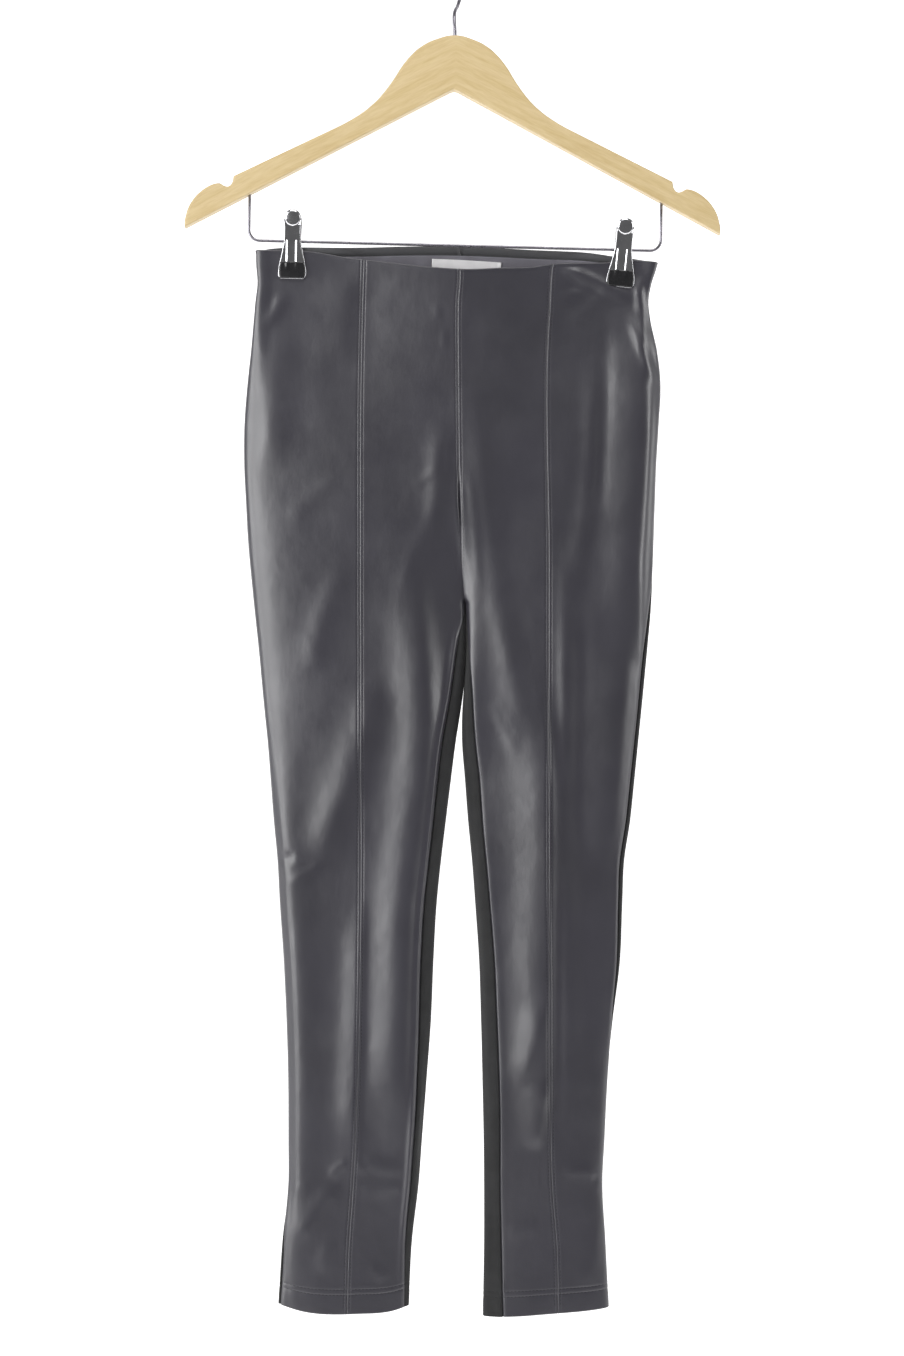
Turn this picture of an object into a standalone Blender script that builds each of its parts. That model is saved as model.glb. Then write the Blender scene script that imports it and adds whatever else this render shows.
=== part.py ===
"""Leggings hung by the waist from a wooden clip hanger, as closed solids.

Frame: metres, +Z up, -Y is the front of the garment and +X the wearer's left. The origin is
the inside of the hook's crown, where a rail carries it. The tables below are in millimetres.

Each leg is a loft: a table gives the edges, seams and depths of its sections, a flattened
super-ellipse joins them, and the panels are cut from that surface along the seams. Above the
crotch the two sections open into each other at the centre seams.
"""

import math

import bmesh
import bpy
import numpy as np

MM = 0.001

# ------------------------------------------------------------------ cloth, in millimetres
WALL = 1.2             # one layer of cloth
HEM_WALL = 2.3         # the hem, turned up once
ROLL_WALL = 3.0        # the back's top edge, turned in over an elastic
ROLL_HEIGHT = 6.4
STEP = 0.8             # height over which the wall changes thickness
SEAM_GAP = 0.3
CENTRE_GAP = 0.4       # between the two halves at the centre seams and between the legs
WAIST_Z = -250.0       # level that the waist's edge curves are drawn from
CROTCH_Z = -533.0
HEM_Z = -1120.0
HEM_HEIGHT = 16.0
CLEFT = 92.0           # height over which the centre front seam sinks in towards the crotch
ROUNDNESS = 0.65       # exponent of the section: 1 is an ellipse, less is flatter
EDGE_FADE = 70.0       # height over which the curve of the waist or the hem dies out

# Outline from the front, one row a section: height, then the edges of the wearer's right leg
# and left leg. Down to the crotch both inner edges are the centre seam.
EDGES = (
    # z, right outer, right inner, left inner, left outer
    (-240, -166.2, 3.3, 3.3, 166.9),
    (-255, -166.0, 3.2, 3.2, 166.9),
    (-269, -164.9, 3.0, 3.0, 162.6),
    (-284, -166.6, 1.8, 1.8, 159.9),
    (-300, -168.0, 1.4, 1.4, 161.4),
    (-325, -170.2, 1.5, 1.5, 166.8),
    (-350, -172.9, 1.7, 1.7, 169.7),
    (-390, -175.9, 2.0, 2.0, 168.2),
    (-420, -176.0, 2.3, 2.3, 166.4),
    (-450, -174.6, 2.6, 2.6, 165.2),
    (-483, -172.8, 4.5, 4.5, 163.9),
    (-533, -168.2, 7.5, 7.5, 162.0),
    (-583, -163.0, 7.8, 8.3, 158.0),
    (-605, -161.0, 6.2, 7.1, 155.9),
    (-626, -159.0, 3.8, 5.2, 153.8),
    (-650, -156.5, 0.0, 5.0, 151.4),
    (-683, -153.9, -4.2, 7.5, 148.1),
    (-716, -151.4, -8.3, 10.0, 144.7),
    (-750, -148.2, -12.4, 13.3, 139.6),
    (-783, -146.4, -15.8, 15.8, 138.1),
    (-833, -143.0, -18.7, 19.2, 135.9),
    (-883, -140.6, -20.8, 20.8, 129.8),
    (-933, -139.2, -24.5, 22.0, 125.5),
    (-982, -138.9, -28.3, 23.0, 123.1),
    (-1016, -138.9, -30.8, 23.3, 121.4),
    (-1066, -143.9, -36.6, 23.3, 123.9),
    (-1120, -147.3, -39.3, 22.5, 126.6),
)
# The seams: x of the princess seams, how far the inseam lies in from the inner edge, and how
# far round the outer edge the side seam lies, where minus is on the front.
SEAMS = (
    # z, right princess, left princess, right inseam, left inseam, right side, left side
    (-250, -77.0, 80.5, 0.0, 0.0, 6.0, 5.0),
    (-325, -78.8, 75.8, 0.0, 0.0, 6.0, 5.0),
    (-500, -79.4, 76.5, 0.0, 0.0, 6.0, 1.0),
    (-533, -79.4, 76.5, 0.0, 0.0, 6.0, -4.0),
    (-570, -79.3, 76.5, 6.9, 2.7, 6.0, -7.0),
    (-630, -79.2, 76.5, 11.0, 9.8, 6.0, -7.0),
    (-750, -79.0, 76.5, 10.6, 11.8, 6.0, -7.0),
    (-860, -79.9, 77.6, 10.6, 13.0, 5.0, -4.0),
    (-950, -82.0, 78.0, 8.0, 14.0, 4.0, 3.0),
    (-1020, -85.6, 79.6, 6.8, 13.2, 2.0, 4.0),
    (-1075, -89.3, 83.6, 4.9, 14.4, -3.0, 4.0),
    (-1120, -90.3, 84.2, 3.6, 16.5, -3.0, 4.0),
)
# How far the front and the back stand out from the side edges.
DEPTHS = (
    # z, front, back
    (-240, 13.0, 11.0),
    (-300, 15.0, 15.0),
    (-380, 17.0, 20.0),
    (-460, 17.0, 21.0),
    (-533, 16.0, 18.0),
    (-620, 15.0, 15.0),
    (-750, 13.0, 12.0),
    (-850, 12.0, 13.5),
    (-950, 11.0, 12.0),
    (-1050, 9.0, 9.0),
    (-1120, 8.5, 8.5),
)
# The waist's edge sags between the clips, more in front, and the hems bow down.
FRONT_TOP = (
    # x, z
    (-166, -242.2), (-120, -243.5), (-90, -248.7), (-60, -252.5), (-20, -257.5), (10, -259.3),
    (40, -257.8), (62, -257.0), (80, -254.2), (125, -252.5), (150, -250.6), (166, -252.2),
)
BACK_TOP = (
    # x, z
    (-166, -242.2), (-150, -240.4), (-100, -239.6), (-46, -237.6), (3, -237.6), (53, -239.8),
    (86, -241.8), (112, -244.2), (130, -247.0), (150, -249.6), (166, -252.2),
)
HEM_BOTTOM = (
    # x, z
    (-147, -1118.0), (-129, -1123.0), (-80, -1125.2), (-52, -1123.0), (-40, -1119.5),
    (22, -1128.0), (46, -1127.7), (79, -1125.2), (110, -1122.8), (126, -1121.0),
)
# The broad folds: soft ridges, or troughs where the height is negative.
FOLDS = (
    # face, x1, z1, x2, z2, half width, height
    ("front", 138, -292, 136, -540, 13, 2.2),      # below the left clip
    ("front", 152, -292, 160, -350, 8, 1.8),
    ("front", 121, -285, 112, -360, 9, -1.6),
    ("front", -152, -285, -163, -330, 8, 1.6),     # below the right clip
    ("front", -118, -285, -106, -350, 10, -1.6),
    ("front", -112, -570, -136, -745, 12, 1.6),    # thighs
    ("front", -47, -520, -44, -900, 10, 1.4),
    ("front", 36, -470, 42, -960, 12, 1.6),
    ("front", -148, -745, -122, -728, 7, -1.8),    # knees
    ("front", 136, -750, 118, -735, 7, -1.8),
    ("front", -122, -1002, -60, -1012, 8, -1.4),   # ankles
    ("front", 112, -1010, 60, -1000, 8, -1.4),
    ("back", -100, -500, -30, -545, 14, -2.4),     # under the seat
    ("back", 108, -500, 44, -545, 14, -2.4),
    ("back", -140, -745, -60, -755, 10, -1.8),     # hollows of the knees
    ("back", 130, -748, 50, -756, 10, -1.8),
    ("back", -120, -285, -105, -380, 12, 1.6),
    ("back", 122, -285, 104, -380, 12, 1.6),
)
# Cells across each panel, and the weight in millimetres that a radian of turn adds to its
# length when they are shared out, so that tight bends get more of them.
CELLS = {"front_inner": 6, "front_outer": 8, "back": 12}
TURN_WEIGHT = 11.0
INNER_FADE = 24.0      # height below the crotch over which a column settles on the inner line
ROW_PITCH = 26.0
KNEE_Z = -750.0
ANKLE_Z = -1016.0
# Each panel is cut from one piece of cloth. It is built as four stretches, so that their
# collision pieces stay close to the wall.
STRETCHES = (
    # name, its lower end
    ("hip", -479.0),
    ("thigh", -746.0),
    ("calf", -999.0),
    ("ankle", HEM_Z),
)

# The strip inside the back waist, and the blank label on it.
FACING_WALL = 1.0
FACING_DROP = 34.0     # how far below the waist level it reaches
FACING_END = 3.0       # columns of the back that it stops short of the side seams
LABEL_SPAN = (-20.0, 38.0)
LABEL_TOP = -249.0
LABEL_HEIGHT = 20.0
LABEL_WALL = 1.0

# ------------------------------------------------------------------ hanger, in millimetres
TILT = math.radians(0.75)          # the hanger hangs slightly lower at the wearer's left
WOOD_THICKNESS = 12.0
WOOD_BEVEL = 1.3
WOOD_APEX_Z = -109.4               # underside at the centre
WOOD_SLOPE = 0.5265                # fall of the straight underside for each unit outwards
WOOD_HALF_SPAN = 222.6
# The upper edge of one arm: the round neck, the straight arm, the notch and the round end.
WOOD_TOP = (
    # x, z
    (0, -64.5), (6.5, -65.1), (12.5, -66.9), (22.5, -70.9), (32.4, -77.8), (42.4, -89.0),
    (51.6, -103.4), (61.6, -116.6), (71.5, -126.2), (81.5, -133.4), (91.5, -139.3),
    (101.5, -144.3), (161.4, -173.6), (182.2, -183.8), (183.6, -189.8), (186.6, -192.4),
    (190.4, -191.6), (193.8, -189.8), (200.5, -191.2), (207.5, -195.4), (214.4, -202.0),
    (219.6, -210.6), (222.2, -220.0),
)

HOOK_WIRE = 1.5
HOOK_RADIUS = 20.0                 # inside the bend
HOOK_TURN = math.radians(75)       # from the hanger's plane
HOOK_SWAY = -2.1                   # the stem's slight sideways bend
HOOK_TIP = math.radians(-35)
HOOK_RETURN = math.radians(240)    # where the bend turns back towards the stem
STEM_FOOT_Z = -78.0
BORE_CLEARANCE = 0.3
BORE_DEPTH = 24.0                  # the cutter's, which reaches out of the wood
BORE_END = 1.0                     # how far a bore runs past the wire's end

BAR_WIRE = 1.2
BAR_CORNERS = (
    # x, z of the ends inside the wood and of the two corners
    (-171.3, -188.0), (-172.3, -234.0), (170.4, -242.8), (170.9, -193.0),
)
BAR_CORNER_RADIUS = 9.0
BAR_SLOPE = math.atan2(BAR_CORNERS[2][1] - BAR_CORNERS[1][1],
                       BAR_CORNERS[2][0] - BAR_CORNERS[1][0])

# ------------------------------------------------------------------ clips, in millimetres
STACK = 4.6                        # the gripped layers, front face to back face
GRIP_REACH = 16.0                  # half width of the flat that a clip presses into the waist
GRIP_FADE_IN = 62.0                # where the press has died out towards the centre
GRIP_FADE_OUT = 34.0               # and towards the side
GRIP_DROP = 115.0                  # and down from the tip of the jaw
GRIP_END = 6.0
JAW_WALL = 1.0
PAD_WALL = 0.8
PAD_GAP = 0.3
CLIPS = {
    # name: x of the pivot, lean about Y, z of the jaw's tip
    "right": (-135.7, math.radians(1.0), -266.5),
    "left": (138.9, math.radians(5.3), -274.0),
}
# A jaw from the rounded thumb end down to the tip: height above the pivot, half width, and
# how far its inner face stands from the middle of the clip.
JAW = (
    # s, half width, distance
    (25.3, 1.6, 8.6),
    (24.6, 3.4, 8.5),
    (22.6, 5.6, 8.3),
    (18.2, 7.1, 7.4),
    (12.0, 7.0, 5.8),
    (5.0, 7.0, 4.3),
    (-2.0, 7.3, 3.8),
    (-8.0, 8.4, 3.4),
    (-17.0, 10.2, 2.9),
    (-23.3, 11.4, 2.9),
    (-29.5, 11.1, 2.9),
    (-31.4, 10.0, 2.9),
)
JAW_COLUMNS = (-1.0, -0.5, 0.0, 0.5, 1.0)
PAD = (
    # s, half width
    (-17.4, 9.2),
    (-23.3, 10.5),
    (-29.0, 10.3),
    (-30.4, 9.4),
)
BARREL_LENGTH = 12.0
BARREL_RADIUS = 3.2
BARREL_BORE = 1.6


# ------------------------------------------------------------------ small helpers
def smooth_curve(table, column):
    """A smooth function of a table's first column through another, level beyond its ends."""
    rows = np.array(sorted(table), float)
    at, value = rows[:, 0], rows[:, column]
    slope = np.gradient(value, at)

    def function(query):
        query = np.clip(query, at[0], at[-1])
        i = np.clip(np.searchsorted(at, query, side="right") - 1, 0, len(at) - 2)
        step = at[i + 1] - at[i]
        t = (query - at[i]) / step
        return (value[i] * (1 + 2 * t) * (1 - t) ** 2 + value[i + 1] * t * t * (3 - 2 * t)
                + step * (slope[i] * t * (1 - t) ** 2 - slope[i + 1] * t * t * (1 - t)))

    return function


def smoothstep(t):
    t = np.clip(t, 0.0, 1.0)
    return t * t * (3 - 2 * t)


def material(name, colour, roughness, metallic=0.0):
    made = bpy.data.materials.new(name)
    made.use_nodes = True
    shader = made.node_tree.nodes["Principled BSDF"]
    shader.inputs["Base Color"].default_value = (*colour, 1.0)
    shader.inputs["Roughness"].default_value = roughness
    shader.inputs["Metallic"].default_value = metallic
    return made


def new_object(name, data, finish, collection, smooth=True):
    made = bpy.data.objects.new(name, data)
    collection.objects.link(made)
    if finish:
        data.materials.append(finish)
    if smooth and isinstance(data, bpy.types.Mesh):
        data.shade_smooth()
        data.set_sharp_from_angle(angle=math.radians(40))
    return made


def closed_sheet(name, outer, inner):
    """One closed mesh between two grids of points (rows, columns, xyz) in millimetres."""
    rows, columns = outer.shape[:2]
    points = np.concatenate([outer.reshape(-1, 3), inner.reshape(-1, 3)]) * MM
    half = rows * columns

    def quad(a, b, c, d):
        return [(a, b, c), (a, c, d)]

    faces = []
    for j in range(rows - 1):
        for k in range(columns - 1):
            a, b = j * columns + k, j * columns + k + 1
            c, d = b + columns, a + columns
            faces += quad(a, b, c, d)
            faces += [(half + a, half + c, half + b), (half + a, half + d, half + c)]
    rim = [(0, k) for k in range(columns)]
    rim += [(j, columns - 1) for j in range(1, rows)]
    rim += [(rows - 1, k) for k in range(columns - 2, -1, -1)]
    rim += [(j, 0) for j in range(rows - 2, 0, -1)]
    loop = [j * columns + k for j, k in rim]
    for a, b in zip(loop, loop[1:] + loop[:1]):
        # Both edges at a seam are split the same way, so that a twist leaves the gap even.
        faces += quad(b, a, half + a, half + b) if a < b else quad(a, half + a, half + b, b)
    mesh = bpy.data.meshes.new(name)
    mesh.from_pydata(points.tolist(), [], faces)
    work = bmesh.new()
    work.from_mesh(mesh)
    bmesh.ops.recalc_face_normals(work, faces=work.faces)
    work.to_mesh(mesh)
    work.free()
    return mesh


# ------------------------------------------------------------------ the garment's surface
class Leg:
    """The outer surface of one half of the garment, as a function of an angle and a height.

    The angle runs from the inner edge (0) across the front to the outer edge (pi) and round
    the back to the inner edge again.
    """

    depth_front = staticmethod(smooth_curve(DEPTHS, 1))
    depth_back = staticmethod(smooth_curve(DEPTHS, 2))
    front_top = staticmethod(smooth_curve(FRONT_TOP, 1))
    back_top = staticmethod(smooth_curve(BACK_TOP, 1))
    hem_bottom = staticmethod(smooth_curve(HEM_BOTTOM, 1))

    def __init__(self, name):
        self.name = name
        self.side = -1.0 if name == "right" else 1.0
        self.outer = smooth_curve(EDGES, 1 if name == "right" else 4)
        self.inner_edge = smooth_curve(EDGES, 2 if name == "right" else 3)
        self.princess = smooth_curve(SEAMS, 1 if name == "right" else 2)
        self.inseam = smooth_curve(SEAMS, 3 if name == "right" else 4)
        self.side_seam = smooth_curve(SEAMS, 5 if name == "right" else 6)

    def inner(self, z):
        return self.inner_edge(z) + self.side * CENTRE_GAP / 2

    def start_angle(self, z):
        """Where the section starts: at the middle of the front, or at its inner edge below."""
        t = np.clip((z - CROTCH_Z) / CLEFT, 0.0, 1.0)
        depth = 1 - (1 - t) ** 1.5
        return np.arcsin(np.clip(depth, 0.0, 1.0) ** (1 / ROUNDNESS))

    def point(self, angle, z):
        start = self.start_angle(z)
        inward = (1 + np.cos(angle)) / (1 + np.cos(start))
        x = self.outer(z) + (self.inner(z) - self.outer(z)) * inward
        rise = np.abs(np.sin(angle)) ** ROUNDNESS
        front = np.sin(angle) >= 0
        depth = np.where(front, self.depth_front(z), self.depth_back(z))
        press = grip(x, z)
        flat = 1 - (1 - np.minimum(rise / 0.45, 1.0)) ** 2
        body = depth * rise + fold_height(front, x, z) * rise
        y = (1 - press) * body + press * flat * STACK / 2
        return np.stack([x, np.where(front, -y, y), z], axis=-1)

    def outward(self, angle, z):
        """The outward normal, from differences of nearby points."""
        turn, lift = 0.004, 0.5
        across = self.point(angle + turn, z) - self.point(angle - turn, z)
        up = self.point(angle, z + lift) - self.point(angle, z - lift)
        normal = np.cross(across, up) * self.side
        return normal / np.linalg.norm(normal, axis=-1, keepdims=True)

    def edge_shift(self, x, z, front):
        """How far the waist's sag and the hem's bow move a point of the row at height z."""
        top = np.where(front, self.front_top(x), self.back_top(x)) - WAIST_Z
        bottom = self.hem_bottom(x) - HEM_Z
        return (top * smoothstep(1 - (WAIST_Z - z) / EDGE_FADE)
                + bottom * smoothstep(1 - (z - HEM_Z) / EDGE_FADE))

    def section(self, z):
        """Angles and lengths along the section at one height, and its seams' lengths."""
        start = float(self.start_angle(z))
        angle = np.linspace(start, 2 * math.pi - start, 1500)
        if z < CROTCH_Z:
            angle = np.concatenate([angle, 2 * math.pi + angle[1:400]])
        place = self.point(angle, np.full_like(angle, z))[:, :2]
        step = np.diff(place, axis=0)
        length = np.concatenate([[0], np.cumsum(np.hypot(step[:, 0], step[:, 1]))])
        heading = np.unwrap(np.arctan2(step[:, 1], step[:, 0]))
        turned = np.concatenate([[0], np.cumsum(np.abs(np.diff(heading))), [0]])
        turned[-1] = turned[-2]
        weight = length + TURN_WEIGHT * turned
        half = angle <= math.pi
        inward = -self.side * place[half, 0]

        def on_front(x):
            return float(np.interp(self.side * x, -inward, length[half]))

        full_turn = float(np.interp(2 * math.pi - start, angle, length))
        inseam = 0.0
        if z < CROTCH_Z:
            inseam = on_front(float(self.inner(z)) + self.side * float(self.inseam(z)))
        side = float(length[half][-1]) + float(self.side_seam(z))
        seams = {"inner": inseam, "princess": on_front(float(self.princess(z))), "side": side,
                 "end": full_turn + inseam}
        return angle, length, weight, seams


def grip(x, z):
    """How fully the clips press the cloth flat, from 0 to 1."""
    total = np.zeros(np.broadcast(x, z).shape)
    for side, (pivot, lean, tip) in ((-1, CLIPS["right"]), (1, CLIPS["left"])):
        middle = pivot + math.sin(lean) * (tip - bar_height(pivot)) / 2
        out = side * (x - middle)
        fade = np.where(out > 0, GRIP_FADE_OUT, GRIP_FADE_IN)
        across = 1 - smoothstep((np.abs(out) - GRIP_REACH) / (fade - GRIP_REACH))
        down = smoothstep(1 - (tip - GRIP_END - z) / GRIP_DROP)
        total = np.maximum(total, across * down)
    return total


def fold_height(front, x, z):
    """The sum of the broad folds at a point of the front or the back."""
    total = np.zeros(np.broadcast(x, z).shape)
    for face, x1, z1, x2, z2, width, height in FOLDS:
        along = ((x - x1) * (x2 - x1) + (z - z1) * (z2 - z1)) / ((x2 - x1) ** 2 + (z2 - z1) ** 2)
        along = np.clip(along, 0.0, 1.0)
        distance = np.hypot(x - x1 - along * (x2 - x1), z - z1 - along * (z2 - z1))
        total = total + (front == (face == "front")) * height * np.exp(-(distance / width) ** 2)
    return total


def row_heights():
    """Heights of the sections: the features, and even rows between them."""
    features = [WAIST_Z, WAIST_Z - ROLL_HEIGHT, WAIST_Z - ROLL_HEIGHT - STEP,
                WAIST_Z - FACING_DROP, CROTCH_Z, CROTCH_Z - INNER_FADE / 3,
                CROTCH_Z - INNER_FADE, KNEE_Z, ANKLE_Z,
                HEM_Z + HEM_HEIGHT + STEP, HEM_Z + HEM_HEIGHT, HEM_Z]
    rows = [features[0]]
    for high, low in zip(features, features[1:]):
        count = max(1, round((high - low) / ROW_PITCH))
        rows += [high - (high - low) * i / count for i in range(1, count + 1)]
    return rows


def panel(leg, kind):
    """The points and outward normals of one panel's grid, row by row from the waist.

    The columns of both backs run from the wearer's right to the left, so that their cells and
    those of the strip inside the waist are split alike.
    """
    ends = {"front_inner": ("inner", "princess"), "front_outer": ("princess", "side"),
            "back": ("side", "end")}[kind]
    points, normals = [], []
    for z in row_heights():
        angle, length, weight, seams = leg.section(z)
        first, last = (seams[end] for end in ends)
        at_centre = z > CROTCH_Z
        first += 0.0 if ends[0] == "inner" and at_centre else SEAM_GAP / 2
        last -= 0.0 if ends[1] == "end" and at_centre else SEAM_GAP / 2
        places = np.linspace(*np.interp([first, last], length, weight), CELLS[kind] + 1)
        if kind == "back":
            # Below the crotch one column runs down the innermost line of the leg.
            innermost = np.interp(2 * math.pi, angle, weight)
            places[-2] += (innermost - places[-2]) * smoothstep((CROTCH_Z - z) / INNER_FADE)
        turns = np.interp(places, weight, angle)
        level = np.full_like(turns, z)
        x = leg.point(turns, level)[:, 0]
        level = level + leg.edge_shift(x, level, np.sin(turns) >= 0)
        points.append(leg.point(turns, level))
        normals.append(leg.outward(turns, level))
    order = -1 if kind == "back" and leg.name == "left" else 1
    return np.array(points)[:, ::order], np.array(normals)[:, ::order]


def wall_thickness(kind):
    """The wall in each row: thicker in the hem and, on the back, in the rolled waist edge."""
    walls = []
    for z in row_heights():
        wall = WALL
        if z <= HEM_Z + HEM_HEIGHT:
            wall = HEM_WALL
        if kind == "back" and z >= WAIST_Z - ROLL_HEIGHT:
            wall = ROLL_WALL
        walls.append(wall)
    return np.array(walls)[:, None, None]


def sample(grid, rows, columns):
    """Values of a grid at fractional rows and columns, by straight lines between its points."""
    def pick(values, where, axis):
        low = np.clip(np.floor(where).astype(int), 0, values.shape[axis] - 2)
        shape = [1] * values.ndim
        shape[axis] = -1
        part = (where - low).reshape(shape)
        return (np.take(values, low, axis) * (1 - part)
                + np.take(values, low + 1, axis) * part)
    return pick(pick(grid, np.asarray(rows, float), 0), np.asarray(columns, float), 1)


def between(first, last):
    """The first and last places and every whole number between them."""
    whole = [n for n in range(math.ceil(first + 0.02), math.floor(last - 0.02) + 1)]
    return [first] + whole + [last]


def stretch_rows():
    """Each stretch of the panels with its rows, a seam's gap apart from the next one's."""
    drops = -np.array(row_heights())
    index = np.arange(len(drops))
    stretches, first = [], 0.0
    for name, low in STRETCHES:
        last = index[-1] if low == HEM_Z else np.interp(-low - SEAM_GAP / 2, drops, index)
        stretches.append((name, between(first, float(last))))
        first = float(np.interp(-low + SEAM_GAP / 2, drops, index))
    return stretches


def build_cloth(collection, coated, knit, satin):
    """The six panels in their stretches, the strip inside the back waist, and the label."""
    backs = {}
    for leg in (Leg("right"), Leg("left")):
        for kind, finish in (("front_inner", coated), ("front_outer", coated), ("back", knit)):
            points, normals = panel(leg, kind)
            inner = points - normals * wall_thickness(kind)
            columns = range(points.shape[1])
            for stretch, rows in stretch_rows():
                name = f"{leg.name}_{kind}_{stretch}"
                mesh = closed_sheet(name, sample(points, rows, columns),
                                    sample(inner, rows, columns))
                new_object(name, mesh, finish, collection)
            if kind == "back":
                backs[leg.name] = (points, normals)

    # The whole back waist as one grid, from the right side seam to the left one.
    def joined(part):
        right, left = backs["right"][part], backs["left"][part]
        middle = (right[:, -1:] + left[:, :1]) / 2
        return np.concatenate([right[:, :-1], middle, left[:, 1:]], axis=1)

    points, normals = joined(0), joined(1)
    heights = row_heights()
    roll_end = heights.index(WAIST_Z - ROLL_HEIGHT - STEP)
    facing_end = heights.index(WAIST_Z - FACING_DROP)
    row_step = heights[roll_end] - heights[roll_end + 1]
    rows = between(roll_end + SEAM_GAP / row_step, facing_end)
    columns = between(FACING_END, points.shape[1] - 1 - FACING_END)
    base, out = sample(points, rows, columns), sample(normals, rows, columns)
    lie = WALL + SEAM_GAP
    mesh = closed_sheet("back_facing", base - out * lie, base - out * (lie + FACING_WALL))
    new_object("back_facing", mesh, knit, collection)

    label_x = points[roll_end, :, 0]
    ends = np.interp(LABEL_SPAN, label_x, np.arange(len(label_x)))
    label_z = points[:, len(label_x) // 2, 2]
    drop = np.interp([-LABEL_TOP, LABEL_HEIGHT - LABEL_TOP], -label_z, np.arange(len(label_z)))
    rows, columns = between(*drop), between(*ends)
    base, out = sample(points, rows, columns), sample(normals, rows, columns)
    lie += FACING_WALL + SEAM_GAP
    mesh = closed_sheet("waist_label", base - out * lie, base - out * (lie + LABEL_WALL))
    new_object("waist_label", mesh, satin, collection)


# ------------------------------------------------------------------ the hanger
def bar_height(x):
    """Height of the bar's straight run at a distance from the centre."""
    corner = BAR_CORNERS[1]
    return corner[1] + (x - corner[0]) * math.tan(BAR_SLOPE)


def wire(name, path, radius, finish, collection, parent=None):
    """A round wire through a list of points in millimetres, as a curve with closed ends."""
    data = bpy.data.curves.new(name, "CURVE")
    data.dimensions = "3D"
    data.bevel_depth = radius * MM
    data.bevel_resolution = 2
    data.use_fill_caps = True
    spline = data.splines.new("POLY")
    spline.points.add(len(path) - 1)
    for point, place in zip(spline.points, path):
        point.co = (*(value * MM for value in place), 1.0)
    made = new_object(name, data, finish, collection)
    made.parent = parent
    return made


def rounded_path(corners, radius, steps=5):
    """The corners of an open path in X and Z, each inner one replaced by an arc."""
    path = [corners[0]]
    for before, corner, after in zip(corners, corners[1:], corners[2:]):
        before, corner, after = (np.array(p, float) for p in (before, corner, after))
        into = (corner - before) / np.linalg.norm(corner - before)
        away = (after - corner) / np.linalg.norm(after - corner)
        turn = math.acos(float(np.dot(into, away)))
        reach = radius * math.tan(turn / 2)
        side = away - into * float(np.dot(into, away))
        side /= np.linalg.norm(side)
        for i in range(steps + 1):
            angle = turn * i / steps
            offset = into * math.sin(angle) + side * (1 - math.cos(angle))
            path.append(tuple(corner - into * reach + offset * radius))
    path.append(corners[-1])
    return path


def hook_path():
    """The hook from its tip over the crown and down the stem into the wood."""
    centre = HOOK_RADIUS + HOOK_WIRE
    flat = []
    for i in range(23):
        angle = HOOK_TIP + (HOOK_RETURN - HOOK_TIP) * i / 22
        flat.append((centre * math.cos(angle), -HOOK_RADIUS + centre * math.sin(angle)))
    # An arc the other way brings the wire back over the stem's foot.
    heading = HOOK_RETURN + math.pi / 2
    start = flat[-1]
    radius = -start[0] / (math.sin(heading) + 1)
    for i in range(1, 7):
        now = heading - (heading - 1.5 * math.pi) * i / 6
        flat.append((start[0] + radius * (math.sin(heading) - math.sin(now)),
                     start[1] + radius * (math.cos(now) - math.cos(heading))))
    flat.append((0.0, STEM_FOOT_Z))
    path = []
    for reach, z in flat:
        low, high = -64.0, -10.0
        sway = HOOK_SWAY * math.sin(math.pi * min(max((z - low) / (high - low), 0), 1)) ** 2
        path.append((sway - reach * math.cos(HOOK_TURN), -reach * math.sin(HOOK_TURN), z))
    return path


def bore(name, end, towards, radius, depth, collection, parent=None):
    """A cutter for the hole that a wire's end sits in, along the wire from that end."""
    work = bmesh.new()
    bmesh.ops.create_cone(work, cap_ends=True, segments=12, radius1=radius * MM,
                          radius2=radius * MM, depth=depth * MM)
    mesh = bpy.data.meshes.new(name)
    work.to_mesh(mesh)
    work.free()
    cutter = new_object(name, mesh, None, collection)
    lean = math.atan2(end[0] - towards[0], end[1] - towards[1])
    reach = depth / 2 - BORE_END
    cutter.location = ((end[0] - reach * math.sin(lean)) * MM, 0.0,
                       (end[1] - reach * math.cos(lean)) * MM)
    cutter.rotation_euler = (0.0, lean, 0.0)
    cutter.parent = parent
    cutter.hide_render = True
    cutter.display_type = "WIRE"
    return cutter


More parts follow.
